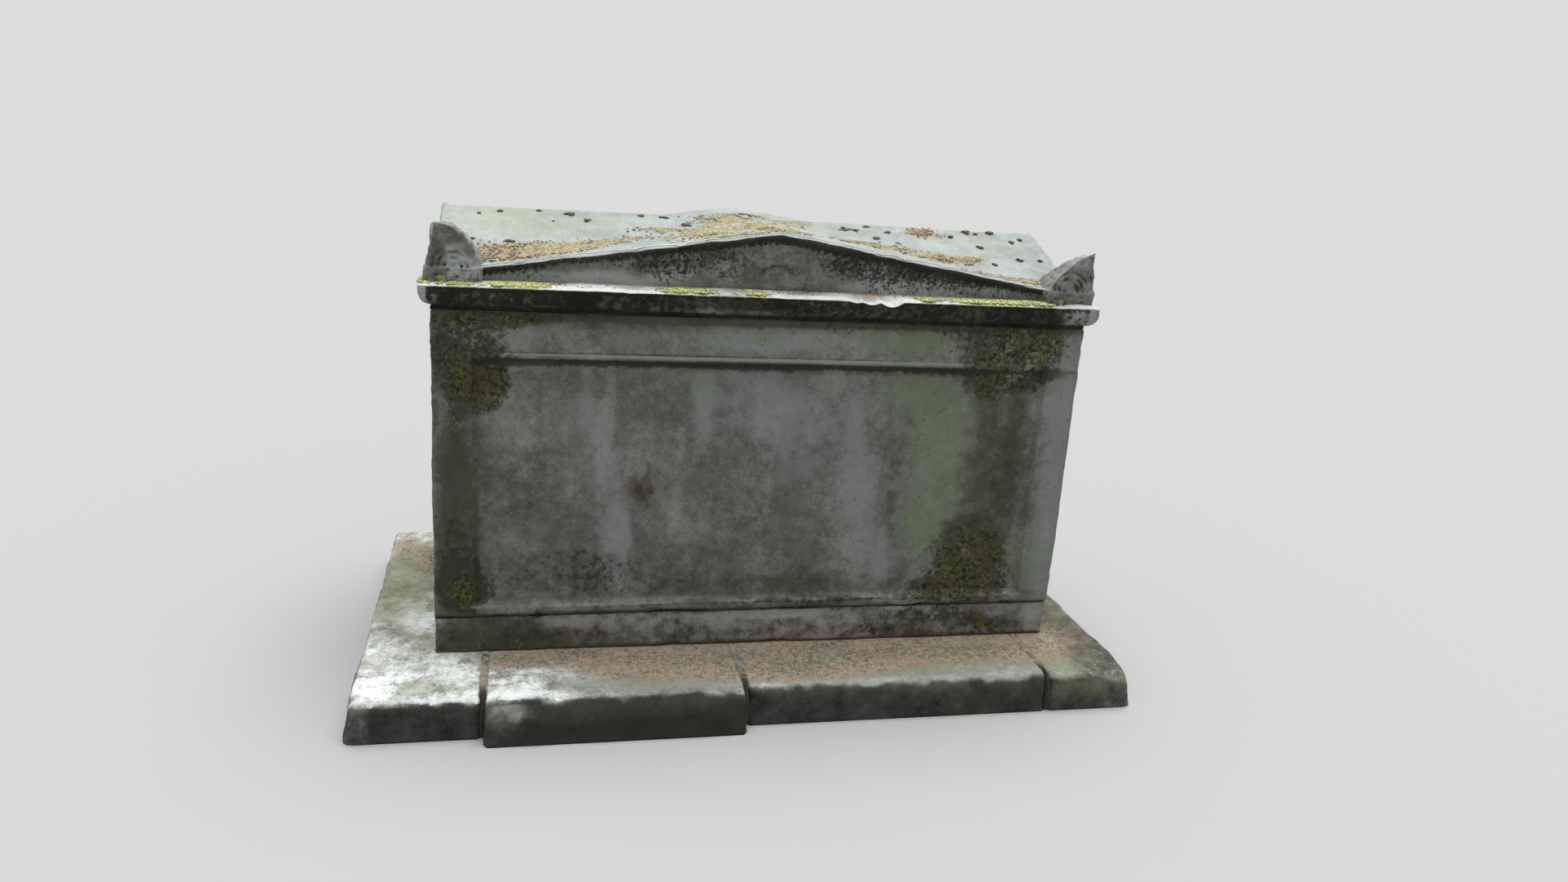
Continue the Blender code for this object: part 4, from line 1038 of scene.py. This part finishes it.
# Height of the roof over the cornice: the higher of the long roof and the cross roof at each place
def roofTop(x, y):
    along = roof["rise"] * (1 - np.abs(y) / lidHalf[1])
    cross = roof["rise"] - (roof["rise"] - roof["endRise"]) * np.abs(x) / lidHalf[0]
    high, low = np.maximum(along, cross), np.minimum(along, cross)
    fromEdge = np.minimum(roof["edgeEnd"] - np.abs(x), roof["edgeLong"] - np.abs(y))
    lip = roof["lipRise"] * np.exp(-(((fromEdge - roof["lipPlace"]) / roof["lipReach"]) ** 2))
    crease = roof["creaseFill"] * np.exp(-(((high - low) / roof["creaseWidth"]) ** 2))
    return high + crease + lip


edge = np.array([roof["edgeEnd"], roof["edgeLong"]])
track = pieceTrack(roof, edge, (0.0,), (0.0,))
ux, uy = track[0][None, :], track[1][None, :]
wall = edge - roof["setback"]
underside = roofTop(ux * wall[0], uy * wall[1]) - roof["thickness"]
layers = []


# One row round the roof: a share of a rectangle, at a height or at a drop below the roof's top
def addLayer(half, share, height=None, drop=0.0):
    x, y = ux * half[0] * share, uy * half[1] * share
    height = roofTop(x, y) - drop if height is None else height
    layers.append(np.stack([x, y, np.broadcast_to(height, x.shape)], -1)[0])


for share in roof["footShares"]:
    addLayer(wall, share, -roof["tuck"])
firstWall = len(layers)
for share in np.linspace(0, 1, roof["wallRows"]):
    addLayer(wall, 1, -roof["tuck"] + (underside + roof["tuck"]) * share)
lastWall = len(layers)
for inset in roof["soffitInsets"]:
    addLayer(edge - inset, 1, drop=roof["thickness"])
nose = roof["thickness"] / 2
for angle in np.radians(np.linspace(-80, 70, 9)):
    addLayer(edge - nose * (1 - math.cos(angle)), 1, drop=nose * (1 - math.sin(angle)))
firstTop = len(layers)
for share in (*roof["topShares"], *np.linspace(0.962, 0.02, roof["radialRows"]), 0.0):
    addLayer(edge, share)
points = np.stack(layers)
row = np.arange(len(layers))[:, None]
onWall = (row >= firstWall) & (row < lastWall) & np.ones(points.shape[:2], bool)
onTop = (row >= firstTop - 2) * 1.0
front = onWall & (track[2][None, :] == 0)
level = points[..., 2]
rise = roof["reliefHeight"] - roof["reliefFoot"]
bow = (points[..., 0] / roof["reliefHalf"]) ** 2 + ((level - roof["reliefFoot"]) / rise) ** 2
relief = roof["reliefProud"] * (1 - ease(0.6, 1.1, bow)) * (level > 0)
ring = np.hypot(points[..., 0], level - roof["reliefFoot"]) - (rise - roof["lineInset"])
line = np.exp(-((ring / roof["lineWidth"]) ** 2)) * ease(0.55, 0.75, level / np.maximum(np.hypot(points[..., 0], level), 1e-6))
points[..., 1] -= np.where(front, relief - 0.005 * line, 0)
points[..., :2] += roofMiddle
points[..., 2] += cornerTop
normal = outwards(ringNormals(points), -20, 40, 2, 1)
x, y = points[..., 0], points[..., 1]
mossBed = spots(x, y, roof["valleyMoss"]) * onTop
push = roof["waves"] * layeredNoise(points, 0.24, 81, 3) + roof["roughness"] * layeredNoise(points, 0.03, 82, 3)
push += mossBed * (0.005 + 0.004 * layeredNoise(points, 0.024, 83, 2))
rim = (row >= lastWall - 1) & (row < firstTop + 3)
push -= rim * roof["rimWear"] * ease(0.25, 0.8, smoothNoise(points, 0.04, 84))
push += rim * roof["rimWaves"] * layeredNoise(points, 0.05, 89, 3)
place, width, depth = roof["chip"]
chip = np.exp(-(((x - place) / width) ** 2)) * (y < roofMiddle[1]) * (0.6 + 0.6 * smoothNoise(points, 0.02, 85))
push -= rim * depth * chip
push -= np.where(onWall, 0.002 * ease(0.2, 0.8, smoothNoise(points, 0.05, 86)), 0)
points = points + normal * (push * (row > firstWall))[..., None]
x, y, z = points[..., 0], points[..., 1], points[..., 2]
upper = ease(0.45, 0.8, normal[..., 2])
cloud, small = smoothNoise(points, 0.17, 87), smoothNoise(points, 0.06, 88)
litter = spots(x, y, roof["litter"]) * onTop
rolled = ease(0.24, 0.58, normal[..., 2] + 0.16 * small) * (1 - onWall)
aside = 1 - rolled
dark = spots(x, z, roof["tympanumDark"]) * aside
# Painted shadow under the raking lip, laid with the black lichen there
underLipShadeAndLichen = ease(-0.052, -0.018, z - cornerTop - roofTop(x - roofMiddle[0], y - roofMiddle[1]) - 0.012)
plainEnd = (np.abs(x - roofMiddle[0]) > roof["edgeEnd"] - 0.05) | (y > roofMiddle[1])
sideLichen = np.where(plainEnd, 0.40 + 0.15 * cloud, 0.46 * dark + 0.72 * underLipShadeAndLichen)
masks = {
    "top": rolled,
    "moss": mossBed * 0.7 * upper + upper * rim * 0.2 * ease(0.2, 0.8, small),
    "ochre": np.clip(litter * 0.8 + 0.4 * mossBed, 0, 1),
    "algae": spots(x, y, roof["algae"]) * upper,
    "lichenAndShade": sideLichen * aside + upper * 0.15 * ease(0.2, 0.8, small),
    "grimeAndShade": aside * np.clip(0.25 * dark + 0.15 * small + 0.5 * line * (level > 0) + 0.20 * (relief > 0.001), 0, 1),
    "pale": upper * 0.5 * ease(-0.2, 0.8, -cloud) + aside * spots(x, z, roof["tympanumPale"]),
    "fleck": aside * 0.2, "spots": 0.2 * upper,
    # Worn stone with a painted highlight along the rim of the lip
    "edge": rolled * rim * ease(-1.0, -0.2, cloud) * np.where(plainEnd, 0.3, 1.0),
}
makePiece("lidRoof", points, ringFaces(*points.shape[:2]), masks, lidStone, "lid")

# Lid: one acroterion on each corner

ear = {
    "width": 0.15, "depth": 0.115, "height": 0.154, "backHeight": 0.112, "foot": 0.030, "baseHeight": 0.038,
    "baseProud": 0.004,
    "frontLedge": 0.028, "endLedge": 0.018, "arcs": ((0.054, 0.5), (0.038, 1.0), (0.022, 1.0)), "arcWidth": 0.0042,
    "arcDepth": 0.0060,
    "columns": (46, 34), "rows": 62, "waves": 0.0050, "roughness": 0.0022, "arris": 0.007,
}


# How far the swelling slope reaches inward at a height: a curve between a circle and a straight line
def swell(height, width, start, tallest, power):
    share = np.clip((height - ear["foot"]) / (tallest - ear["foot"]), 0, 1)
    return start + (width - start) * (1 - share**power) ** (1 / power)


# An acroterion as level rings, each the meeting of the front outline and the end outline at its height
def makeEar(name, sideX, sideY, seed, lean=0.022, topWidth=0.018, power=1.7):
    tallest = ear["height"] if sideY < 0 else ear["backHeight"]
    level = tallest * np.sin(np.linspace(0, math.pi / 2, ear["rows"])) ** 1.15
    level = np.concatenate([[-0.012], level, [tallest + 0.001, tallest + 0.001]])
    share = np.concatenate([np.ones(ear["rows"] + 1), [0.55, 0.0]])
    height = np.clip(level, 0, tallest)
    plain = ear["baseProud"] * (1 - ease(ear["baseHeight"] - 0.002, ear["baseHeight"] + 0.003, height))
    outerX = lean * height / tallest - plain
    innerX = swell(height, ear["width"], lean + topWidth, tallest, power) + plain
    outerY = -plain
    innerY = swell(height, ear["depth"], topWidth, tallest, power) + plain
    innerX = np.where(height < ear["baseHeight"], ear["width"] + plain, innerX)
    innerY = np.where(height < ear["baseHeight"], ear["depth"] + plain, innerY)
    count = ear["columns"]
    shares = [np.linspace(-1, 1, number + 1) for number in (count[0], count[1], count[0], count[1])]
    track = rectangleTrack(*shares)
    halfX, halfY = (innerX - outerX)[:, None] / 2, (innerY - outerY)[:, None] / 2
    x = (innerX + outerX)[:, None] / 2 + halfX * track[0] * share[:, None]
    y = (innerY + outerY)[:, None] / 2 + halfY * track[1] * share[:, None]
    low = np.stack([outerX, outerY, np.full(len(level), -9.0)], -1)[:, None]
    high = np.stack([innerX, innerY, np.full(len(level), 9.0)], -1)[:, None]
    points = np.stack([x, y, np.zeros(x.shape)], -1)
    radius = np.minimum(ear["arris"], np.minimum(halfX, halfY) * 0.8) * np.ones(x.shape)
    points = np.where((share > 0.99)[:, None, None], roundArrises(points, low, high, radius), points)
    points[..., 2] = np.broadcast_to(level[:, None], x.shape)
    face, back = ((track[2] == number) & (share > 0.99)[:, None] for number in (0, 2))
    fromArc = np.hypot(points[..., 0] - ear["width"] / 2, points[..., 2] - ear["baseHeight"])
    kept = ease(-0.8, 0.1, smoothNoise(points, 0.022, seed + 4))
    groove = np.zeros(x.shape)
    for radius, strength in ear["arcs"]:
        arc = strength * np.exp(-(((fromArc - radius) / ear["arcWidth"]) ** 2))
        groove += arc * (points[..., 2] > ear["baseHeight"] - 0.004)
    groove = groove * kept + 0.15 * np.exp(-(((points[..., 2] - ear["baseHeight"]) / 0.003) ** 2))
    points[..., 1] += ear["arcDepth"] * groove * (face * 1.0 - back * 1.0)
    points[..., 0] = lidMiddle[0] + sideX * (lidHalf[0] - ear["endLedge"] - points[..., 0])
    points[..., 1] = lidMiddle[1] + sideY * (lidHalf[1] - ear["frontLedge"] - points[..., 1])
    points[..., 2] += cornerTop
    normal = ringNormals(points)
    outward = points[20] - points[20].mean(0)
    normal = normal * np.sign((normal[20] * outward).sum())
    push = ear["waves"] * layeredNoise(points, 0.04, seed, 3) + ear["roughness"] * layeredNoise(points, 0.012, seed + 5, 2)
    push -= 0.006 * ease(0.2, 0.9, smoothNoise(points, 0.035, seed + 9)) * ease(0.05, 0.12, points[..., 2] - cornerTop)
    push[0] = 0
    points = points + normal * push[..., None]
    rise = points[..., 2] - cornerTop
    cloud, small = smoothNoise(points, 0.05, seed + 2), smoothNoise(points, 0.018, seed + 3)
    outerSide = ease(0.2, 0.7, normal[..., 0] * sideX)
    masks = {
        "top": 0.5 * ease(0.2, 0.9, normal[..., 2]) + 0.4 * ease(-0.4, 0.8, -cloud) * ease(-0.7, 0.5, small),
        # Grooves darkened with grime and painted shade
        "grimeAndShade": np.clip(0.14 + 0.35 * cloud + 0.8 * groove * face, 0, 1),
        "lichenAndShade": np.clip(0.18 + 0.25 * small + 0.25 * (1 - ease(0, 0.05, rise)), 0, 1),
        "moss": 0.6 * (1 - ease(0.0, 0.03, rise)) * ease(-0.2, 0.5, small),
        "pale": np.clip(0.45 * ease(0, 0.8, -cloud) + 0.3 * outerSide + 0.2 * (sideX < 0), 0, 1),
        # Worn stone with a painted highlight near the ear's top
        "edge": 0.35 * ease(0.12, 0.15, rise), "fleck": np.full(x.shape, 0.3), "spots": np.full(x.shape, 0.5),
    }
    makePiece(name, points, ringFaces(*points.shape[:2]), masks, lidStone, "lid")


makeEar("frontLeftEar", -1, -1, 91)
makeEar("frontRightEar", 1, -1, 111, 0.006, 0.008, 1.35)
makeEar("backLeftEar", -1, 1, 131)
makeEar("backRightEar", 1, 1, 151)
print("stones made")


# Moss or litter that stands on the stone: tufts of three colours; each lump has its own tint, and is darker
# towards its foot
def makeMoss(name, look):
    material = bpy.data.materials.new(name)
    material.use_nodes = True
    tree = material.node_tree
    shader = tree.nodes["Principled BSDF"]
    place = addNode(tree, "ShaderNodeTexCoord").outputs["Object"]
    shade = addNode(tree, "ShaderNodeAttribute", attribute_name="shade").outputs["Fac"]
    tint = addNode(tree, "ShaderNodeAttribute", attribute_name="tint").outputs["Fac"]
    sockets = {"Place": place, "Scale": look["scale"]}
    sockets |= {key: rgba(look[key.lower()]) for key in ("Dark", "Bright", "Dry")}
    tufts = useGroup(tree, mossGroup, sockets)
    colour = mixColour(tree, calc(tree, "MULTIPLY", tint, 0.75), tufts["Color"], rgba(look["other"]))
    tree.links.new(mixColour(tree, shade, rgba(look["dark"]), colour), shader.inputs["Base Color"])
    fibres = noiseOf(tree, place, look["scale"] * 4, 4.0, 0.7)
    tree.links.new(remap(tree, fibres, 0.3, 0.7, 0.85, 1.0), shader.inputs["Roughness"])
    height = calc(tree, "ADD", tufts["Height"], fibres)
    bump = addNode(tree, "ShaderNodeBump", {"Strength": 0.8, "Distance": 0.003, "Height": height})
    tree.links.new(bump.outputs["Normal"], shader.inputs["Normal"])
    shader.inputs["Sheen Weight"].default_value = 0.15
    shader.inputs["Specular IOR Level"].default_value = 0.1
    return material


cushionMoss = makeMoss("cushionMoss", {
    "dark": (0.080, 0.070, 0.045), "bright": (0.250, 0.235, 0.140), "dry": (0.230, 0.180, 0.125),
    "other": (0.170, 0.155, 0.090), "scale": 110.0,
})
tuftMoss = makeMoss("tuftMoss", {
    "dark": (0.350, 0.325, 0.170), "bright": (0.590, 0.600, 0.300), "dry": (0.600, 0.490, 0.320),
    "other": (0.690, 0.660, 0.480), "scale": 80.0,
})
ledgeMoss = makeMoss("ledgeMoss", {
    "dark": (0.350, 0.380, 0.130), "bright": (0.700, 0.780, 0.260), "dry": (0.600, 0.590, 0.280),
    "other": (0.760, 0.820, 0.380), "scale": 80.0,
})
litterMoss = makeMoss("litterMoss", {
    "dark": (0.300, 0.205, 0.145), "bright": (0.480, 0.390, 0.265), "dry": (0.500, 0.310, 0.215),
    "other": (0.580, 0.510, 0.440), "scale": 80.0,
})
baseCrumbs = makeMoss("baseCrumbs", {
    "dark": (0.170, 0.132, 0.095), "bright": (0.310, 0.290, 0.205), "dry": (0.390, 0.250, 0.175),
    "other": (0.330, 0.335, 0.300), "scale": 60.0,
})
jointEarth = makeMoss("jointEarth", {
    "dark": (0.028, 0.024, 0.017), "bright": (0.290, 0.270, 0.195), "dry": (0.350, 0.240, 0.170),
    "other": (0.300, 0.295, 0.250), "scale": 60.0,
})
print("moss and litter materials made")


highDome, lowDome = (-0.6, -0.1, 0.35, 0.72, 1.0), (-0.4, 0.3, 1.0)


# Lumps: one dome of a few faces, repeated as arrays; each is turned, sized and roughened by noise.
# A dome's point is centre + size * (cos, sin) * sqrt(1 - h * h) across and height * h up, for levels h up to 1
def makeLumps(name, centres, sizes, heights, material, around, seed, levels=highDome):
    random = np.random.default_rng(seed)
    up = np.array(levels)
    reach = np.sqrt(np.clip(1 - up**2, 0, 1))
    count = len(centres)
    angle = np.linspace(0, 2 * np.pi, around, endpoint=False) + random.uniform(0, 6.28, (count, 1, 1))
    wobble = 1 + 0.22 * random.standard_normal((count, len(up), around))
    wobble[:, -1] = 1
    squash = random.uniform(0.7, 1.4, (count, 1, 1))
    width = sizes[:, None, None] * reach[None, :, None]
    x = centres[:, 0, None, None] + width * np.cos(angle) * wobble * squash
    y = centres[:, 1, None, None] + width * np.sin(angle) * wobble / squash
    z = centres[:, 2, None, None] + heights[:, None, None] * up[None, :, None] * (1 + 0.15 * (wobble - 1))
    points = np.stack([x, y, z], -1)
    points[:, 0] = points[:, 0].mean(1, keepdims=True)
    shade = np.broadcast_to(ease(-0.5, 0.6, up)[None, :, None] * random.uniform(0.6, 1.15, (count, 1, 1)), x.shape)
    tint = np.broadcast_to(ease(0.3, 0.9, random.random((count, 1, 1))), x.shape)
    faces = ringFaces(len(up), around)[None] + (np.arange(count) * len(up) * around)[:, None, None]
    makePiece(name, points, faces.reshape(-1, 4), {"shade": shade, "tint": tint}, material, None)


# Places on the roof, raised to its height
def roofPlace(places):
    places = np.asarray(places, float)
    height = cornerTop + roofTop(places[:, 0] - roofMiddle[0], places[:, 1] - roofMiddle[1])
    return np.column_stack([places[:, :2], height])


# Places gathered around soft spots, more of them where the spot is stronger
def gather(patches, count, seed):
    random = np.random.default_rng(seed)
    patches = np.array(patches)
    weight = patches[:, 2] * patches[:, 3] * patches[:, 4]
    chosen = patches[random.choice(len(patches), count, p=weight / weight.sum())]
    spread = random.standard_normal((count, 2)) * 0.52
    return chosen[:, :2] + spread * chosen[:, 2:4]


cushions = {
    "places": (
        (-0.75, -0.125, 0.015), (-0.78, 0.07, 0.010), (-0.57, 0.07, 0.015), (-0.52, 0.035, 0.012),
        (-0.28, 0.085, 0.017), (-0.35, 0.088, 0.011),
        (-0.21, 0.03, 0.014), (-0.14, 0.085, 0.012), (0.31, 0.06, 0.017), (0.345, 0.055, 0.014), (0.40, 0.01, 0.013),
        (0.45, 0.055, 0.012),
        (0.385, 0.09, 0.012), (0.47, -0.02, 0.009), (0.67, 0.05, 0.010), (0.74, 0.09, 0.012), (0.77, 0.08, 0.009),
        (0.82, 0.09, 0.013),
        (0.75, -0.02, 0.010), (0.76, -0.14, 0.010), (0.88, 0.03, 0.010), (0.92, 0.05, 0.011), (0.86, -0.10, 0.011),
        (-0.84, 0.05, 0.006),
        (-0.66, 0.09, 0.008), (-0.86, -0.12, 0.008), (-0.70, -0.15, 0.008), (0.93, -0.10, 0.009),
        (-0.62, 0.02, 0.006), (0.60, 0.09, 0.008),
    ),
    # More behind the ridge: their ranges across, deep and of size
    "behindCount": 40, "behind": ((-0.9, 0.9), (0.17, 0.46), (0.006, 0.016)),
    "bumps": 4, "spread": 0.32, "bumpSize": (0.5, 0.85), "lift": 0.001, "flatness": 0.42,
}
random = np.random.default_rng(5)
behind = np.column_stack([random.uniform(*span, cushions["behindCount"]) for span in cushions["behind"]])
placed = np.repeat(np.concatenate([np.array(cushions["places"]), behind]), cushions["bumps"], 0)
offsets = random.standard_normal((len(placed), 2)) * placed[:, 2:] * cushions["spread"]
centres = roofPlace(placed[:, :2] + offsets)
sizes = placed[:, 2] * random.uniform(*cushions["bumpSize"], len(centres))
centres[:, 2] += cushions["lift"]
makeLumps("roofCushions", centres, sizes, sizes * cushions["flatness"], cushionMoss, 12, 6)

valley = {"count": 6400, "size": (0.0018, 0.0062), "tallness": 0.75, "lift": 0.0035, "reach": (0.955, 0.425)}
centres = roofPlace(gather(roof["valleyMoss"], valley["count"], 11))
centres = centres[(np.abs(centres[:, :2] - roofMiddle[:2]) < valley["reach"]).all(1)]
random = np.random.default_rng(12)
sizes = random.uniform(*valley["size"], len(centres))
centres[:, 2] += valley["lift"]
leaning = smoothNoise(centres, 0.05, 15) + 0.5 * (np.abs(centres[:, 0]) < 0.3) - 0.25 * (centres[:, 0] < -0.4)
green = random.random(len(centres)) < ease(-0.5, 0.7, leaning)
tall = sizes * valley["tallness"]
makeLumps("valleyTufts", centres[green], sizes[green], tall[green], tuftMoss, 6, 13, lowDome)
makeLumps("valleyLitter", centres[~green], sizes[~green], tall[~green], litterMoss, 6, 14, lowDome)


# Height of the cornice ledge at a distance behind its front arris
def ledgePlace(deep):
    return lidLow[2] + cornice["height"] - cornice["wash"] * (1 - np.clip((deep - lidLow[1]) / cornice["frontLedge"], 0, 1))


ledge = {
    "perSpot": 150, "spotWidth": 0.05, "spread": 0.6, "depth": (0.006, 0.04), "size": (0.002, 0.006), "tallness": 0.8,
    "cornerTufts": 60, "cornerAcross": (0.004, 0.03), "cornerDeep": (0.01, 0.14), "cornerSize": (0.003, 0.007),
    "cornerSunk": 0.006, "crumbs": 2200, "crumbAcross": (-0.8, 0.85), "crumbStart": 0.004, "crumbReach": 0.07,
    "crumbSize": (0.0012, 0.0035), "crumbTallness": 0.7,
}
random = np.random.default_rng(21)
along = np.concatenate([
    place + random.standard_normal(int(ledge["perSpot"] * width / ledge["spotWidth"])) * width * ledge["spread"]
    for place, width in cornice["ledgeBeds"]
])
deep = lidLow[1] + random.uniform(*ledge["depth"], len(along))
sizes = random.uniform(*ledge["size"], len(along))
centres = np.column_stack([along, deep, ledgePlace(deep)])
makeLumps("ledgeTufts", centres, sizes, sizes * ledge["tallness"], ledgeMoss, 6, 22, lowDome)
count = ledge["cornerTufts"]
along = lidLow[0] + random.uniform(*ledge["cornerAcross"], count)
deep = lidLow[1] + random.uniform(*ledge["cornerDeep"], count)
centres = np.column_stack([along, deep, np.full(count, cornerTop - ledge["cornerSunk"])])
sizes = random.uniform(*ledge["cornerSize"], count)
makeLumps("cornerTufts", centres, sizes, sizes, ledgeMoss, 6, 23)
count = ledge["crumbs"]
along = random.uniform(*ledge["crumbAcross"], count)
deep = lidLow[1] + random.beta(4, 2, count) * ledge["crumbReach"] + ledge["crumbStart"]
centres = np.column_stack([along, deep, np.zeros(count)])
centres = centres[random.random(count) < ease(-0.3, 0.5, smoothNoise(centres, 0.12, 24))]
centres[:, 2] = ledgePlace(centres[:, 1])
sizes = random.uniform(*ledge["crumbSize"], len(centres))
makeLumps("ledgeLitter", centres, sizes, sizes * ledge["crumbTallness"], litterMoss, 5, 25, lowDome)

scatter = {"count": 6500, "size": (0.0015, 0.0042), "flatness": 0.35}
random = np.random.default_rng(51)
places = gather(base["litterPatches"], scatter["count"], 52)
behindFront = places[:, 1] > boxOf("base_stone_left")[0][1] + 0.045
beside = (np.abs(places[:, 0] - chestMiddle[0]) > (chestHigh - chestLow)[0] / 2 + 0.002) | (np.abs(places[:, 1] - chestMiddle[1]) > (chestHigh - chestLow)[1] / 2 + 0.002)
inside = (np.abs(places[:, 0]) < 1.13) & (places[:, 1] < 0.66) & behindFront & beside
places = places[inside]
top = boxOf("base_stone_left")[1][2]
flat = np.column_stack([places, np.full(len(places), top)])
sizes = random.uniform(*scatter["size"], len(places))
flat[:, 2] += base["waves"] * layeredNoise(flat, 0.2, 3, 3) + base["roughness"] * layeredNoise(flat, 0.035, 5, 3) - 0.001
makeLumps("baseLitter", flat, sizes, sizes * scatter["flatness"], baseCrumbs, 6, 53, lowDome)

# Earth and moss that fill the joints between the base stones: a strip with a rounded, uneven top
jointFill = {"step": 0.008, "rise": 0.0020, "reach": 0.017, "frontDrop": 0.030, "frontReach": 0.05, "deep": 0.10}


def makeJointFill(name, left, right, seed):
    leftLow, leftHigh = boxOf(left)
    rightLow, rightHigh = boxOf(right)
    middle = (leftHigh[0] + rightLow[0]) / 2
    start = max(leftLow[1], rightLow[1])
    deep = spaced(start + 0.004, leftHigh[1] - 0.006, jointFill["step"])
    angle = np.linspace(0, 2 * np.pi, 16, endpoint=False)
    full = ease(0.03, 0.09, deep - start)
    half = 0.009 + (jointFill["reach"] - 0.009) * full[:, None]
    x = middle + half * np.cos(angle)[None, :]
    drop = jointFill["frontDrop"] * (1 - ease(0.0, jointFill["frontReach"], deep - start)) ** 1.5 - jointFill["rise"] * full
    crown = leftHigh[2] - drop[:, None] - (0.03 + (jointFill["deep"] - 0.03) * (1 - full[:, None])) * (1 - np.sin(angle)[None, :]) / 2
    crown = np.maximum(crown, leftLow[2] + 0.004)
    points = np.stack([x, np.broadcast_to(deep[:, None], x.shape), crown], -1)
    points[..., 2] += base["waves"] * layeredNoise(points, 0.2, 3, 3) + 0.002 * smoothNoise(points, 0.012, seed + 1)
    points[..., 0] += 0.002 * smoothNoise(points, 0.02, seed + 2)
    points = np.concatenate([points[:1].mean(1, keepdims=True) + 0 * points[:1], points, points[-1:].mean(1, keepdims=True) + 0 * points[:1]])
    shade = np.clip(1.0 + 0.5 * smoothNoise(points, 0.03, seed + 3), 0, 1) * ease(0.04, 0.12, points[..., 1] - start)
    tint = ease(-0.5, 0.6, smoothNoise(points, 0.012, seed + 4))
    makePiece(name, points, ringFaces(*points.shape[:2]), {"shade": shade, "tint": tint}, jointEarth, None)


makeJointFill("leftJointFill", "base_stone_left", "base_stone_middle_left", 31)
makeJointFill("middleJointFill", "base_stone_middle_left", "base_stone_middle_right", 35)
makeJointFill("rightJointFill", "base_stone_middle_right", "base_stone_right", 39)

# Floor, light and surroundings: the floor's colour times the light on it equals the world behind it
studio = {"floor": 0.386, "reach": 600.0, "world": 0.72, "sun": 3.6, "sunWidth": 50.0, "sunLean": (-6.0, 5.0)}
mesh = bpy.data.meshes.new("floor")
reach = studio["reach"]
mesh.from_pydata([(-reach, -reach, 0), (reach, -reach, 0), (reach, reach, 0), (-reach, reach, 0)], [], [(0, 1, 2, 3)])
floor = bpy.data.objects.new("floor", mesh)
bpy.context.scene.collection.objects.link(floor)
floorMaterial = bpy.data.materials.new("paleFloor")
floorMaterial.use_nodes = True
floorShader = floorMaterial.node_tree.nodes["Principled BSDF"]
floorShader.inputs["Base Color"].default_value = (*[studio["floor"]] * 3, 1)
floorShader.inputs["Roughness"].default_value = 1.0
floorShader.inputs["Specular IOR Level"].default_value = 0.0
mesh.materials.append(floorMaterial)
world = bpy.data.worlds.new("studio")
world.use_nodes = True
world.node_tree.nodes["Background"].inputs[0].default_value = (1, 1, 1, 1)
world.node_tree.nodes["Background"].inputs[1].default_value = studio["world"]
bpy.context.scene.world = world
lightData = bpy.data.lights.new("overhead", "SUN")
lightData.energy, lightData.angle = studio["sun"], math.radians(studio["sunWidth"])
light = bpy.data.objects.new("overhead", lightData)
light.location = (0, 0, 5)
light.rotation_euler = [math.radians(angle) for angle in (*studio["sunLean"], 0.0)]
bpy.context.scene.collection.objects.link(light)
print("floor and light set")

bpy.context.view_layer.update()
